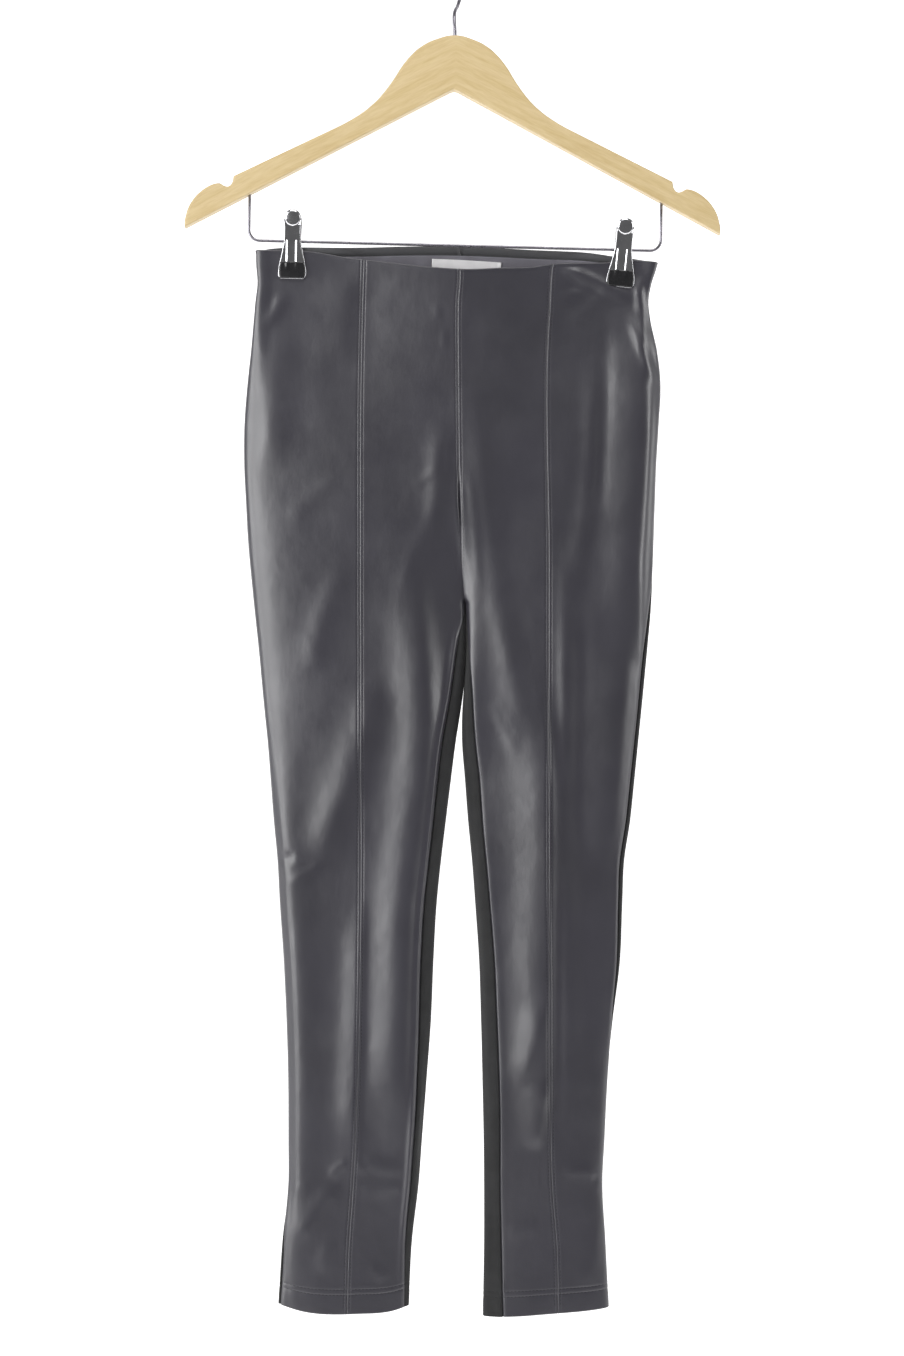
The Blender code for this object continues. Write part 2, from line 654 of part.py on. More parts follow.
def build_wood(collection, cutters, finish, tilt):
    """The hanger's arms: one flat outline with softened edges, bored for the wires."""
    tip = (WOOD_HALF_SPAN, WOOD_APEX_Z - WOOD_SLOPE * WOOD_HALF_SPAN)
    arm = list(WOOD_TOP) + [tip]
    outline = [(-x, z) for x, z in reversed(arm)] + arm[1:] + [(0.0, WOOD_APEX_Z)]
    data = bpy.data.curves.new("hanger_body", "CURVE")
    data.dimensions = "2D"
    data.fill_mode = "BOTH"
    data.extrude = WOOD_THICKNESS / 2 * MM
    spline = data.splines.new("POLY")
    spline.points.add(len(outline) - 1)
    for point, (x, z) in zip(spline.points, outline):
        point.co = (x * MM, z * MM, 0.0, 1.0)
    spline.use_cyclic_u = True
    flat = bpy.data.objects.new("outline", data)
    collection.objects.link(flat)
    mesh = bpy.data.meshes.new_from_object(flat.evaluated_get(bpy.context.evaluated_depsgraph_get()))
    bpy.data.objects.remove(flat)
    work = bmesh.new()
    work.from_mesh(mesh)
    bmesh.ops.remove_doubles(work, verts=work.verts, dist=0.00001)
    bmesh.ops.dissolve_limit(work, angle_limit=0.001, verts=work.verts, edges=work.edges)
    work.to_mesh(mesh)
    work.free()
    mesh.materials.clear()
    wood = new_object("hanger_body", mesh, finish, collection)
    wood.rotation_euler = (math.pi / 2, 0.0, 0.0)
    wood.parent = tilt
    soften = wood.modifiers.new("soft_edges", "BEVEL")
    soften.width = WOOD_BEVEL * MM
    soften.segments = 2
    soften.angle_limit = math.radians(50)
    foot, crown = (0.0, STEM_FOOT_Z), (0.0, 0.0)
    holes = (("hook_bore", foot, crown, HOOK_WIRE, tilt),
             ("right_bar_bore", BAR_CORNERS[0], BAR_CORNERS[1], BAR_WIRE, None),
             ("left_bar_bore", BAR_CORNERS[3], BAR_CORNERS[2], BAR_WIRE, None))
    for name, end, towards, radius, parent in holes:
        cut = wood.modifiers.new(name, "BOOLEAN")
        cut.operation = "DIFFERENCE"
        cut.solver = "EXACT"
        cut.object = bore(name, end, towards, radius + BORE_CLEARANCE, BORE_DEPTH, cutters, parent)
    return wood


def build_clip(name, collection, steel, rubber):
    """Two sprung jaws either side of the bar, each with a pad, and the spring's barrel."""
    pivot_x, lean, _ = CLIPS[name]
    pivot = bpy.data.objects.new(f"{name}_clip_pivot", None)
    collection.objects.link(pivot)
    pivot.location = (pivot_x * MM, 0.0, bar_height(pivot_x) * MM)
    pivot.rotation_euler = (0.0, lean, 0.0)
    jaw_rows = np.array(JAW)
    face = smooth_curve(JAW, 2)
    for where, sign in (("front", -1.0), ("back", 1.0)):
        across = np.array(JAW_COLUMNS)

        def plate(s, half_width, distance):
            return np.stack([np.outer(half_width, across),
                             np.repeat(sign * distance[:, None], len(across), axis=1),
                             np.repeat(s[:, None], len(across), axis=1)], axis=-1)

        s, half_width, distance = jaw_rows.T
        mesh = closed_sheet(f"{name}_clip_{where}_jaw", plate(s, half_width, distance + JAW_WALL),
                            plate(s, half_width, distance))
        jaw = new_object(f"{name}_clip_{where}_jaw", mesh, steel, collection)
        jaw.parent = pivot
        s, half_width = np.array(PAD).T
        distance = face(s) + JAW_WALL + PAD_GAP
        mesh = closed_sheet(f"{name}_clip_{where}_pad", plate(s, half_width, distance + PAD_WALL),
                            plate(s, half_width, distance))
        pad = new_object(f"{name}_clip_{where}_pad", mesh, rubber, collection)
        pad.parent = pivot

    work = bmesh.new()
    ends = (-BARREL_LENGTH / 2, BARREL_LENGTH / 2)
    ring = [(ends[0], BARREL_RADIUS), (ends[1], BARREL_RADIUS), (ends[1], BARREL_BORE),
            (ends[0], BARREL_BORE)]
    corners = [work.verts.new((x * MM, 0.0, z * MM)) for x, z in ring]
    edges = [work.edges.new(pair) for pair in zip(corners, corners[1:] + corners[:1])]
    bmesh.ops.spin(work, geom=corners + edges, cent=(0, 0, 0), axis=(1, 0, 0),
                   angle=2 * math.pi, steps=14, use_merge=True)
    bmesh.ops.remove_doubles(work, verts=work.verts, dist=0.00001)
    bmesh.ops.recalc_face_normals(work, faces=work.faces)
    mesh = bpy.data.meshes.new(f"{name}_clip_spring")
    work.to_mesh(mesh)
    work.free()
    barrel = new_object(f"{name}_clip_spring", mesh, steel, collection)
    barrel.location = pivot.location
    barrel.rotation_euler = (0.0, -BAR_SLOPE, 0.0)


def main():
    for old in list(bpy.data.objects):
        bpy.data.objects.remove(old, do_unlink=True)
    parts = bpy.data.collections.new("leggings_on_hanger")
    cutters = bpy.data.collections.new("cutters")
    for collection in (parts, cutters):
        bpy.context.scene.collection.children.link(collection)

    coated = material("coated_cloth", (0.045, 0.047, 0.055), 0.42)
    knit = material("knit", (0.018, 0.018, 0.021), 0.85)
    satin = material("label", (0.86, 0.86, 0.84), 0.5)
    pale_wood = material("wood", (0.78, 0.58, 0.33), 0.45)
    steel = material("steel", (0.62, 0.62, 0.64), 0.2, metallic=1.0)
    rubber = material("pad", (0.02, 0.02, 0.022), 0.4)

    build_cloth(parts, coated, knit, satin)
    tilt = bpy.data.objects.new("hanger_tilt", None)
    parts.objects.link(tilt)
    tilt.rotation_euler = (0.0, TILT, 0.0)
    build_wood(parts, cutters, pale_wood, tilt)
    wire("hook", hook_path(), HOOK_WIRE, steel, parts, tilt)
    bar = [(x, 0.0, z) for x, z in rounded_path(BAR_CORNERS, BAR_CORNER_RADIUS)]
    wire("trouser_bar", bar, BAR_WIRE, steel, parts)
    for name in CLIPS:
        build_clip(name, parts, steel, rubber)


main()
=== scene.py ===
"""Looks of the leggings on a clip hanger: fine shells of coated cloth and knit on the same
sections as the solids, with their creases, seams and stitching, and the hanger in detail."""
import math

import bmesh
import bpy
import numpy as np
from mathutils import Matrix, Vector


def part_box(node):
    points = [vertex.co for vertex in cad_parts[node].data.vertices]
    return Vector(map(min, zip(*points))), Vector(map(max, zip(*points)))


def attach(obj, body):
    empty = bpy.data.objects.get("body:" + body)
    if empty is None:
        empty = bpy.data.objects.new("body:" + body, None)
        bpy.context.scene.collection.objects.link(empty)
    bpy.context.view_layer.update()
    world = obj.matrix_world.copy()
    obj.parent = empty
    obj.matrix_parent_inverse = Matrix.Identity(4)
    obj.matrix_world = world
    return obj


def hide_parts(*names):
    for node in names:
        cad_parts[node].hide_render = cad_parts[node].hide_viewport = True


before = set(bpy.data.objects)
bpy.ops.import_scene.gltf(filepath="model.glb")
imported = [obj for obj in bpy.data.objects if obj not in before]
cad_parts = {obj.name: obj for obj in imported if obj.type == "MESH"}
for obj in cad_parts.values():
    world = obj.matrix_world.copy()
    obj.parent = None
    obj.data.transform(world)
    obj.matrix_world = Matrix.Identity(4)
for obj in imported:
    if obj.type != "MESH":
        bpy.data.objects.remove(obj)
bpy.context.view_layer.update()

MM = 0.001

# ------------------------------------------------------------------ cloth, in millimetres
WALL = 1.2
HEM_WALL = 2.1
ROLL_WALL = 3.0
ROLL_HEIGHT = 6.4
CENTRE_GAP = -0.03
WAIST_Z = -250.0
CROTCH_Z = -533.0
HEM_Z = -1120.0
HEM_HEIGHT = 16.0
CLEFT = 92.0
ROUNDNESS = 0.65
EDGE_FADE = 70.0
RIM = 0.7              # radius of the rounded edges
SIDE_FADE = 9.0        # from a side edge, over which the creases grow
INNER_FADE = 6.0       # and from a leg's inner edge
STACK = 4.6            # the layers that a clip grips, front face to back face
GRIP_REACH = 16.0      # half width of the flat that a clip presses
GRIP_FADE = {"front": 140.0, "back": 76.0}   # where the press has died out towards the centre
GRIP_FADE_OUT = 34.0   # and towards the side
GRIP_DROP = 125.0      # and down from the jaw's tip
GRIP_END = 6.0

EDGES = (
    # z, right outer, right inner, left inner, left outer
    (-240, -166.2, 3.3, 3.3, 166.9),
    (-255, -166.0, 3.2, 3.2, 166.9),
    (-269, -164.9, 3.0, 3.0, 162.6),
    (-284, -166.6, 1.8, 1.8, 159.9),
    (-300, -168.0, 1.4, 1.4, 161.4),
    (-325, -170.2, 1.5, 1.5, 166.8),
    (-350, -172.9, 1.7, 1.7, 169.7),
    (-390, -175.9, 2.0, 2.0, 168.2),
    (-420, -176.0, 2.3, 2.3, 166.4),
    (-450, -174.6, 2.6, 2.6, 165.2),
    (-483, -172.8, 4.5, 4.5, 163.9),
    (-533, -168.2, 7.5, 7.5, 162.0),
    (-583, -163.0, 8.05, 8.05, 158.0),
    (-605, -161.0, 6.65, 6.65, 155.9),
    (-626, -159.0, 3.8, 5.2, 153.8),
    (-650, -156.5, 0.0, 5.0, 151.4),
    (-683, -153.9, -4.2, 7.5, 148.1),
    (-716, -151.4, -8.3, 10.0, 144.7),
    (-750, -148.2, -12.4, 13.3, 139.6),
    (-783, -146.4, -15.8, 15.8, 138.1),
    (-833, -143.0, -18.7, 19.2, 135.9),
    (-883, -140.6, -20.8, 20.8, 129.8),
    (-933, -139.2, -24.5, 22.0, 125.5),
    (-982, -138.9, -28.3, 23.0, 123.1),
    (-1016, -138.9, -30.8, 23.3, 121.4),
    (-1066, -143.9, -36.6, 23.3, 123.9),
    (-1120, -147.3, -39.3, 22.5, 126.6),
)
SEAMS = (
    # z, right princess, left princess, right inseam, left inseam, right side, left side
    (-250, -77.0, 80.5, 0.0, 0.0, 6.0, 5.0),
    (-325, -78.8, 75.8, 0.0, 0.0, 6.0, 5.0),
    (-500, -79.4, 76.5, 0.0, 0.0, 6.0, 1.0),
    (-533, -79.4, 76.5, 0.0, 0.0, 6.0, -4.0),
    (-570, -79.3, 76.5, 6.9, 2.7, 6.0, -7.0),
    (-630, -79.2, 76.5, 11.0, 9.8, 6.0, -7.0),
    (-750, -79.0, 76.5, 10.6, 11.8, 6.0, -7.0),
    (-860, -79.9, 77.6, 10.6, 13.0, 5.0, -4.0),
    (-950, -82.0, 78.0, 8.0, 14.0, 4.0, 3.0),
    (-1020, -85.6, 79.6, 6.8, 13.2, 2.0, 4.0),
    (-1075, -89.3, 83.6, 4.9, 14.4, -3.0, 4.0),
    (-1120, -90.3, 84.2, 3.6, 16.5, -3.0, 4.0),
)
DEPTHS = (
    # z, front, back
    (-240, 10.5, 11.0),
    (-300, 12.3, 15.0),
    (-380, 15.5, 20.0),
    (-460, 16.8, 21.0),
    (-533, 16.0, 18.0),
    (-620, 15.0, 15.0),
    (-750, 13.0, 12.0),
    (-850, 12.0, 13.5),
    (-950, 11.0, 12.0),
    (-1050, 9.0, 9.0),
    (-1120, 8.5, 8.5),
)
FRONT_TOP = (
    # x, z
    (-166, -242.2), (-120, -243.5), (-90, -248.7), (-60, -252.5), (-20, -257.5), (10, -259.3),
    (40, -257.8), (62, -257.0), (80, -254.2), (125, -252.5), (150, -250.6), (166, -252.2),
)
BACK_TOP = (
    # x, z
    (-166, -242.2), (-150, -240.4), (-100, -239.6), (-46, -237.6), (3, -237.6), (53, -239.8),
    (86, -241.8), (112, -244.2), (130, -247.0), (150, -249.6), (166, -252.2),
)
HEM_BOTTOM = (
    # x, z
    (-147, -1118.0), (-129, -1123.0), (-80, -1125.2), (-52, -1123.0), (-40, -1119.5),
    (22, -1128.0), (46, -1127.7), (79, -1125.2), (110, -1122.8), (126, -1121.0),
)
# The broad folds of the back, as in the solids: soft ridges, or troughs where the height is
# negative. The front's are among the creases.
BACK_FOLDS = (
    # x1, z1, x2, z2, half width, height
    (-100, -500, -30, -545, 14, -2.4),
    (108, -500, 44, -545, 14, -2.4),
    (-140, -745, -60, -755, 10, -1.8),
    (130, -748, 50, -756, 10, -1.8),
    (-120, -285, -105, -380, 12, 1.6),
    (122, -285, 104, -380, 12, 1.6),
)
# The creases: the line of each crest or trough, its half width on the left or upper side and
# on the other one, and its height.
FRONT_CREASES = (
    # line, lit width, shaded width, height
    # the right hip, at the viewer's left
    (((-143, -277), (-150, -292), (-158, -306)), 4, 6, 1.4),
    (((-92, -258), (-94, -300), (-96, -345)), 28, 12, 1.8),
    (((-147, -300), (-151, -335), (-153, -370), (-155, -405), (-156, -430)), 12, 16, 2.2),
    (((-116, -300), (-112, -350), (-110, -400)), 12, 10, 0.4),
    (((-96, -428), (-118, -447), (-140, -470)), 8, 8, 0.5),
    # the middle of the front
    (((-46, -262), (-56, -282), (-62, -304)), 7, 9, 0.2),
    (((-17, -288), (-15, -301)), 2, 2.5, 0.45),
    (((-10.5, -310), (-9.5, -325)), 2, 2.5, 0.6),
    (((66, -356), (40, -328), (14, -302)), 9, 11, 0.8),
    (((-62, -330), (-40, -352), (-24, -362)), 8, 10, 0.2),
    # beside and below the left clip
    (((150, -286), (130, -276), (114, -268), (100, -262), (84, -257.5)), 5, 4, 2.6),
    (((122, -279), (106, -275), (90, -270)), 3, 3.5, -0.9),
    (((114, -272), (86, -285)), 4, 4, 0.6),
    (((120, -282), (94, -306)), 6, 7, 0.7),
    (((150, -285), (153, -330), (155, -365), (155, -400), (152, -450), (148, -500), (148, -545),
      (149, -585)), 27, 10, 8.3),
    (((151, -262), (155, -285), (157, -310), (158, -330)), 6, 5, 2.2),
    (((126, -292), (123, -350), (121, -400), (117, -470)), 6, 6, -1.2),
    (((145, -294), (151, -318), (158, -339), (169, -360)), 4, 5, 2.0),
    (((150, -264), (154, -285), (159, -303), (167, -330)), 4, 4, 1.6),
    (((116, -330), (113, -375), (112, -420), (106, -470), (96, -530)), 9, 6, 1.5),
    # the crotch
    (((-9, -382), (-15, -412), (-15, -440), (-18, -465), (-24, -500)), 9, 7, 1.6),
    (((-12, -424), (-25, -432), (-37, -441)), 2.5, 3, 0.4),
    (((-24, -468), (-38, -500), (-46, -530)), 5, 6, 0.6),
    (((-5, -396), (-6.5, -436)), 3.5, 2.5, 0.7),
    (((11, -352), (17, -385), (21, -425), (27, -470), (30, -500), (35, -540), (44, -580),
      (50, -620), (52, -655)), 12, 10, 1.7),
    (((5, -450), (6, -480), (7.5, -510), (8.5, -550), (10, -590), (12, -640), (15, -690)),
     4.5, 14, 2.9),
    (((8, -416), (12.5, -445), (16.5, -480), (20, -530)), 3, 3, 0.5),
    # the right thigh and knee, at the viewer's left
    (((-93, -505), (-106, -535), (-116, -568), (-121, -600)), 10, 9, 1.2),
    (((-70, -590), (-74, -635), (-89, -683), (-98, -707), (-109, -733), (-122, -758)), 17, 12, 3.1),
    (((-111, -753), (-124, -759.5), (-139, -768)), 3, 4, 0.9),
    (((-133, -747), (-149, -747)), 4, 4, -1.4),
    (((-37, -470), (-35, -505), (-33, -540), (-28, -583), (-26, -633), (-29, -683), (-35, -733),
      (-42, -783), (-44, -833), (-46, -883), (-46, -932), (-41, -965), (-36, -1000), (-34, -1045)),
     23, 14, 7.8),
    (((-78, -775), (-81, -830), (-83, -900), (-85, -950), (-84, -1010)), 12, 5, 2.5),
    # the left thigh and knee
    (((28, -616), (51, -662)), 4, 5, 0.4),
    (((33, -612), (54, -650)), 4, 4, 0.25),
    (((62, -590), (72, -640), (76, -690), (77, -740), (75, -800), (73, -868), (72, -900),
      (71, -950), (70, -990)), 25, 9, 6.2),
    (((16, -680), (21, -750), (25, -820), (28, -880), (31, -960), (32, -1040)), 5, 14, 2.0),
    (((70, -868), (67, -893), (58, -921), (48, -936)), 12, 6, 1.2),
    (((76, -930), (70, -955), (66, -990)), 14, 5, 1.8),
    (((91, -480), (91, -600), (91.5, -700), (92, -800), (93, -880), (94, -990)), 7.5, 10, 2.5),
    (((142, -550), (136, -620), (132, -670), (129, -715), (126, -765)), 18, 11, 3.6),
    (((104, -520), (103, -600), (100, -680), (100, -760)), 10, 8, -1.2),
    # the firm edge of the right leg, down to its hem
    (((-149, -630), (-143.5, -700), (-138, -783), (-133, -860), (-131, -930), (-131, -1016),
      (-136, -1066), (-139, -1118)), 7, 16, 2.6),
    # the right ankle
    (((-89, -999), (-98, -1004), (-105.6, -1012)), 4, 5, 0.9),
    (((-82, -999), (-75, -1009)), 3, 3, 0.6),
    (((-42.5, -1005), (-58, -1004), (-72, -1000), (-80, -996)), 7, 6, 0.8),
    (((-44, -1018), (-60, -1021), (-80, -1022)), 5, 7, 0.6),
    (((-120.6, -1021.4), (-135, -1020)), 3, 4, 0.5),
    (((-98.5, -1015), (-115.6, -1040), (-132.6, -1066.5)), 9, 8, 1.2),
    (((-105, -1064), (-113, -1090)), 6, 6, 0.6),
    (((-57, -1096), (-73, -1086)), 5, 5, 0.5),
    # the left ankle
    (((119, -1010), (108, -1006.5), (88, -1005)), 4, 6, 0.6),
    (((124, -1013), (112, -1015)), 3, 4, -0.7),
    (((122, -1018), (115, -1023)), 3, 3, 0.5),
    (((70, -1051), (41, -1059)), 6, 6, 0.5),
    (((119, -1050), (112, -1085), (105, -1106)), 8, 8, 0.8),
    (((38, -1098), (38, -1108)), 2, 2, 0.6),
)
BACK_CREASES = (
    # seat, thighs, hollows of the knees, calves
    (((-96, -470), (-60, -505), (-22, -528)), 8, 10, 1.0),
    (((102, -468), (66, -503), (32, -526)), 8, 10, 1.0),
    (((-20, -400), (-26, -440), (-20, -480)), 7, 8, 0.8),
    (((24, -410), (30, -455), (22, -490)), 7, 8, 0.8),
    (((-120, -560), (-108, -640), (-104, -700)), 12, 9, 1.5),
    (((116, -556), (106, -640), (98, -702)), 12, 9, 1.5),
    (((-134, -735), (-110, -742), (-82, -738)), 5, 6, 1.2),
    (((-124, -766), (-98, -770), (-70, -764)), 5, 6, 1.0),
    (((126, -738), (100, -744), (76, -741)), 5, 6, 1.2),
    (((118, -768), (94, -773), (66, -766)), 5, 6, 1.0),
    (((-104, -800), (-98, -870), (-96, -930)), 11, 9, 1.2),
    (((92, -802), (86, -872), (80, -935)), 11, 9, 1.2),
    (((-118, -1006), (-92, -1012), (-66, -1008)), 5, 6, 0.9),
    (((104, -1008), (80, -1014), (54, -1010)), 5, 6, 0.9),
)
# Distances from a seam at which columns are set, for a topstitched seam and a plain one.
STITCHED = (0.02, 0.3, 0.6, 0.9, 1.2, 1.55, 1.9, 2.3, 2.7, 3.15, 3.8, 5.0)
PLAIN = (0.02, 0.25, 0.5, 0.8, 1.2, 1.8, 2.6, 3.6, 4.8, 6.4)
STITCH_LINE = 2.3
FACING_HEIGHT = 34.5
LABEL_SPAN = (-20.0, 38.0)
LABEL_TOP = -248.2
LABEL_HEIGHT = 20.0
LABEL_LIE = 1.7        # how far it stands off the inside of the back
LABEL_FALL = 1.6       # how far its top falls towards the wearer's left
CELLS = {"front_inner": 24, "front_outer": 30, "back": 62}
TURN_WEIGHT = 11.0
ROW_PITCH = 3.3
HEM_LINES = (15.5, 19.5)
STRETCHES = ("hip", "thigh", "calf", "ankle")


# ------------------------------------------------------------------ small helpers
def smooth_curve(table, column):
    """A smooth function of a table's first column through another, level beyond its ends."""
    rows = np.array(sorted(table), float)
    at, value = rows[:, 0], rows[:, column]
    slope = np.gradient(value, at)

    def function(query):
        query = np.clip(query, at[0], at[-1])
        i = np.clip(np.searchsorted(at, query, side="right") - 1, 0, len(at) - 2)
        step = at[i + 1] - at[i]
        t = (query - at[i]) / step
        return (value[i] * (1 + 2 * t) * (1 - t) ** 2 + value[i + 1] * t * t * (3 - 2 * t)
                + step * (slope[i] * t * (1 - t) ** 2 - slope[i + 1] * t * t * (1 - t)))

    return function


def smoothstep(t):
    t = np.clip(t, 0.0, 1.0)
    return t * t * (3 - 2 * t)


def bump(distance, width):
    return np.exp(-(distance / width) ** 2)


def unit(vectors):
    return vectors / np.linalg.norm(vectors, axis=-1, keepdims=True)


def closed_mesh(name, points, faces, cut=None):
    """A mesh of points in millimetres, its faces turned outwards, with a map of its cut."""
    mesh = bpy.data.meshes.new(name)
    mesh.from_pydata((points * MM).tolist(), [], faces)
    if cut is not None:
        layer = mesh.uv_layers.new(name="cut")
        layer.data.foreach_set("uv", cut[np.ravel(faces)].astype(np.float32).ravel())
    work = bmesh.new()
    work.from_mesh(mesh)
    bmesh.ops.recalc_face_normals(work, faces=work.faces)
    work.to_mesh(mesh)
    work.free()
    return mesh


def add_object(name, mesh, finish, replaced=()):
    made = bpy.data.objects.new(name, mesh)
    bpy.context.scene.collection.objects.link(made)
    mesh.materials.append(finish)
    mesh.shade_smooth()
    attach(made, "root")
    if replaced:
        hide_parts(*replaced)
    return made


# ------------------------------------------------------------------ the garment's surface
class Leg:
    """The outer surface of one half of the garment, as a function of an angle and a height.

    side is the way from the centre to the leg, and rim the height of the rim by its inseam.
    """

    depth_front = staticmethod(smooth_curve(DEPTHS, 1))
    depth_back = staticmethod(smooth_curve(DEPTHS, 2))
    front_top = staticmethod(smooth_curve(FRONT_TOP, 1))
    back_top = staticmethod(smooth_curve(BACK_TOP, 1))
    hem_bottom = staticmethod(smooth_curve(HEM_BOTTOM, 1))

    def __init__(self, name):
        self.side, self.rim = (-1.0, 1.9) if name == "right" else (1.0, 0.15)
        right = name == "right"
        self.outer = smooth_curve(EDGES, 1 if right else 4)
        self.inner_edge = smooth_curve(EDGES, 2 if right else 3)
        self.princess, self.inseam, self.side_seam = (
            smooth_curve(SEAMS, column if right else column + 1) for column in (1, 3, 5))

    def inner(self, z):
        return self.inner_edge(z) + self.side * CENTRE_GAP / 2

    def start_angle(self, z):
        sunk = np.clip((CROTCH_Z + CLEFT - z) / CLEFT, 0.0, 1.0)
        angle = np.arcsin((1 - sunk ** 1.5) ** (1 / ROUNDNESS))
        return math.pi / 2 - (math.pi / 2 - angle) * smoothstep(sunk / 0.4)

    def point(self, angle, z):
        start = self.start_angle(z)
        inward = (1 + np.cos(angle)) / (1 + np.cos(start))
        x = self.outer(z) + (self.inner(z) - self.outer(z)) * inward
        rise = np.abs(np.sin(angle)) ** ROUNDNESS
        front = np.sin(angle) >= 0
        depth = np.where(front, self.depth_front(z), self.depth_back(z))
        press = grip(x, z, front)
        flat = 1 - (1 - np.minimum(rise / 0.45, 1.0)) ** 2
        body = depth * rise + fold_height(front, x, z) * rise
        y = (1 - press) * body + press * flat * STACK / 2
        return np.stack([x, np.where(front, -y, y), z], axis=-1)

    def outward(self, angle, z):
        turn, lift = 0.004, 0.5
        across = self.point(angle + turn, z) - self.point(angle - turn, z)
        up = self.point(angle, z + lift) - self.point(angle, z - lift)
        return unit(np.cross(across, up) * self.side)

    def edge_shift(self, x, z, front):
        top = np.where(front, self.front_top(x), self.back_top(x)) - WAIST_Z
        bottom = self.hem_bottom(x) - HEM_Z
        return (top * smoothstep(1 - (WAIST_Z - z) / EDGE_FADE)
                + bottom * smoothstep(1 - (z - HEM_Z) / EDGE_FADE))

    def section(self, z):
        start = float(self.start_angle(z))
        angle = np.linspace(start, 2 * math.pi - start, 1200)
        if z < CROTCH_Z:
            angle = np.concatenate([angle, 2 * math.pi + angle[1:320]])
        place = self.point(angle, np.full_like(angle, z))[:, :2]
        step = np.diff(place, axis=0)
        length = np.concatenate([[0], np.cumsum(np.hypot(step[:, 0], step[:, 1]))])
        heading = np.unwrap(np.arctan2(step[:, 1], step[:, 0]))
        turned = np.concatenate([[0], np.cumsum(np.abs(np.diff(heading))), [0]])
        turned[-1] = turned[-2]
        weight = length + TURN_WEIGHT * turned
        half = angle <= math.pi
        inward = -self.side * place[half, 0]

        def on_front(x):
            return float(np.interp(self.side * x, -inward, length[half]))

        full_turn = float(np.interp(2 * math.pi - start, angle, length))
        inseam = 0.0
        if z < CROTCH_Z:
            inseam = on_front(float(self.inner(z)) + self.side * float(self.inseam(z)))
        side = float(length[half][-1]) + float(self.side_seam(z))
        seams = {"inner": inseam, "princess": on_front(float(self.princess(z))), "side": side,
                 "end": full_turn + inseam}
        return angle, length, weight, seams


CLIPS = {
    # name: x of the pivot, lean about Y, z of the jaw's tip
    "right": (-135.7, math.radians(1.0), -266.5),
    "left": (138.9, math.radians(5.3), -274.0),
}
BAR_CORNERS = ((-171.3, -188.0), (-172.3, -234.0), (170.4, -242.8), (170.9, -193.0))
BAR_SLOPE = math.atan2(BAR_CORNERS[2][1] - BAR_CORNERS[1][1],
                       BAR_CORNERS[2][0] - BAR_CORNERS[1][0])


def bar_height(x):
    corner = BAR_CORNERS[1]
    return corner[1] + (x - corner[0]) * math.tan(BAR_SLOPE)


def grip(x, z, front):
    """How fully the clips press the cloth flat, from 0 to 1."""
    fade_in = np.where(front, GRIP_FADE["front"], GRIP_FADE["back"])
    total = np.zeros(np.broadcast(x, z).shape)
    for side, (pivot, lean, tip) in ((-1, CLIPS["right"]), (1, CLIPS["left"])):
        middle = pivot + math.sin(lean) * (tip - bar_height(pivot)) / 2
        out = side * (x - middle)
        fade = np.where(out > 0, GRIP_FADE_OUT, fade_in)
        across = 1 - smoothstep((np.abs(out) - GRIP_REACH) / (fade - GRIP_REACH))
        down = smoothstep(1 - (tip - GRIP_END - z) / GRIP_DROP)
        total = np.maximum(total, across * down)
    return total


def fold_height(front, x, z):
    total = np.zeros(np.broadcast(x, z).shape)
    for x1, z1, x2, z2, width, height in BACK_FOLDS:
        along = ((x - x1) * (x2 - x1) + (z - z1) * (z2 - z1)) / ((x2 - x1) ** 2 + (z2 - z1) ** 2)
        along = np.clip(along, 0.0, 1.0)
        distance = np.hypot(x - x1 - along * (x2 - x1), z - z1 - along * (z2 - z1))
        total = total + ~front * height * bump(distance, width)
    return total


def one_crease(x, z, line, lit, shaded, height):
    """A crease's height at a point: it follows its line and tapers towards both ends."""
    line = np.array(line, float)
    steps = np.hypot(*(line[1:] - line[:-1]).T)
    best, value, walked = np.full(x.shape, np.inf), np.zeros(x.shape), 0.0
    for (x1, z1), (x2, z2), step in zip(line, line[1:], steps):
        dx, dz = (x2 - x1) / step, (z2 - z1) / step
        held = np.clip((x - x1) * dx + (z - z1) * dz, 0.0, step)
        distance = np.hypot(x - x1 - held * dx, z - z1 - held * dz)
        # The clockwise side of the line is the left or upper one.
        clockwise = (x - x1) * dz - (z - z1) * dx
        t = (walked + held) / steps.sum()
        taper = smoothstep(np.minimum(t, 1 - t) / 0.3 + 0.15)
        here = height * taper * bump(distance, np.where(clockwise > 0, lit, shaded))
        value = np.where(distance < best, here, value)
        best = np.minimum(best, distance)
        walked += step
    return value


def crease_height(front, x, z):
    """The creases at a point, and the slight unevenness of the whole cloth."""
    total = (0.10 * np.sin(x / 13.0 + z / 41.0) + 0.12 * np.sin(x / 29.0 - z / 67.0 + 1.3)
             + 0.07 * np.sin(x / 9.0 - z / 23.0 + 0.6) * np.sin(z / 57.0))
    for near, creases in ((front, FRONT_CREASES), (~front, BACK_CREASES)):
        if near.any():
            total = total + near * sum(one_crease(x, z, *crease) for crease in creases)
    return total


def stitched_relief(u):
    """A topstitched seam at a distance from it: the join, its welt and a sunk line of stitches."""
    return (-0.4 * bump(u, 0.3) + 0.05 * bump(u - 1.2, 0.6) - 0.13 * bump(u - STITCH_LINE, 0.45)
            + 0.06 * bump(u - 3.8, 1.2))


def plain_relief(u, rim=0.5):
    """A plain seam: the join in its groove, and the soft rim that stands beside it."""
    return -1.2 * bump(u, 0.7) + rim * bump(u - 3.3, 2.3)


def hem_relief(up):
    """Sunk lines of stitching, a soft ridge between them, and the doubled cloth below."""
    lines = sum(bump(up - line, 0.45) for line in HEM_LINES)
    return -0.16 * lines + 0.05 * bump(up - 17.5, 0.9) + 0.12 * smoothstep((14.5 - up) / 3.0)


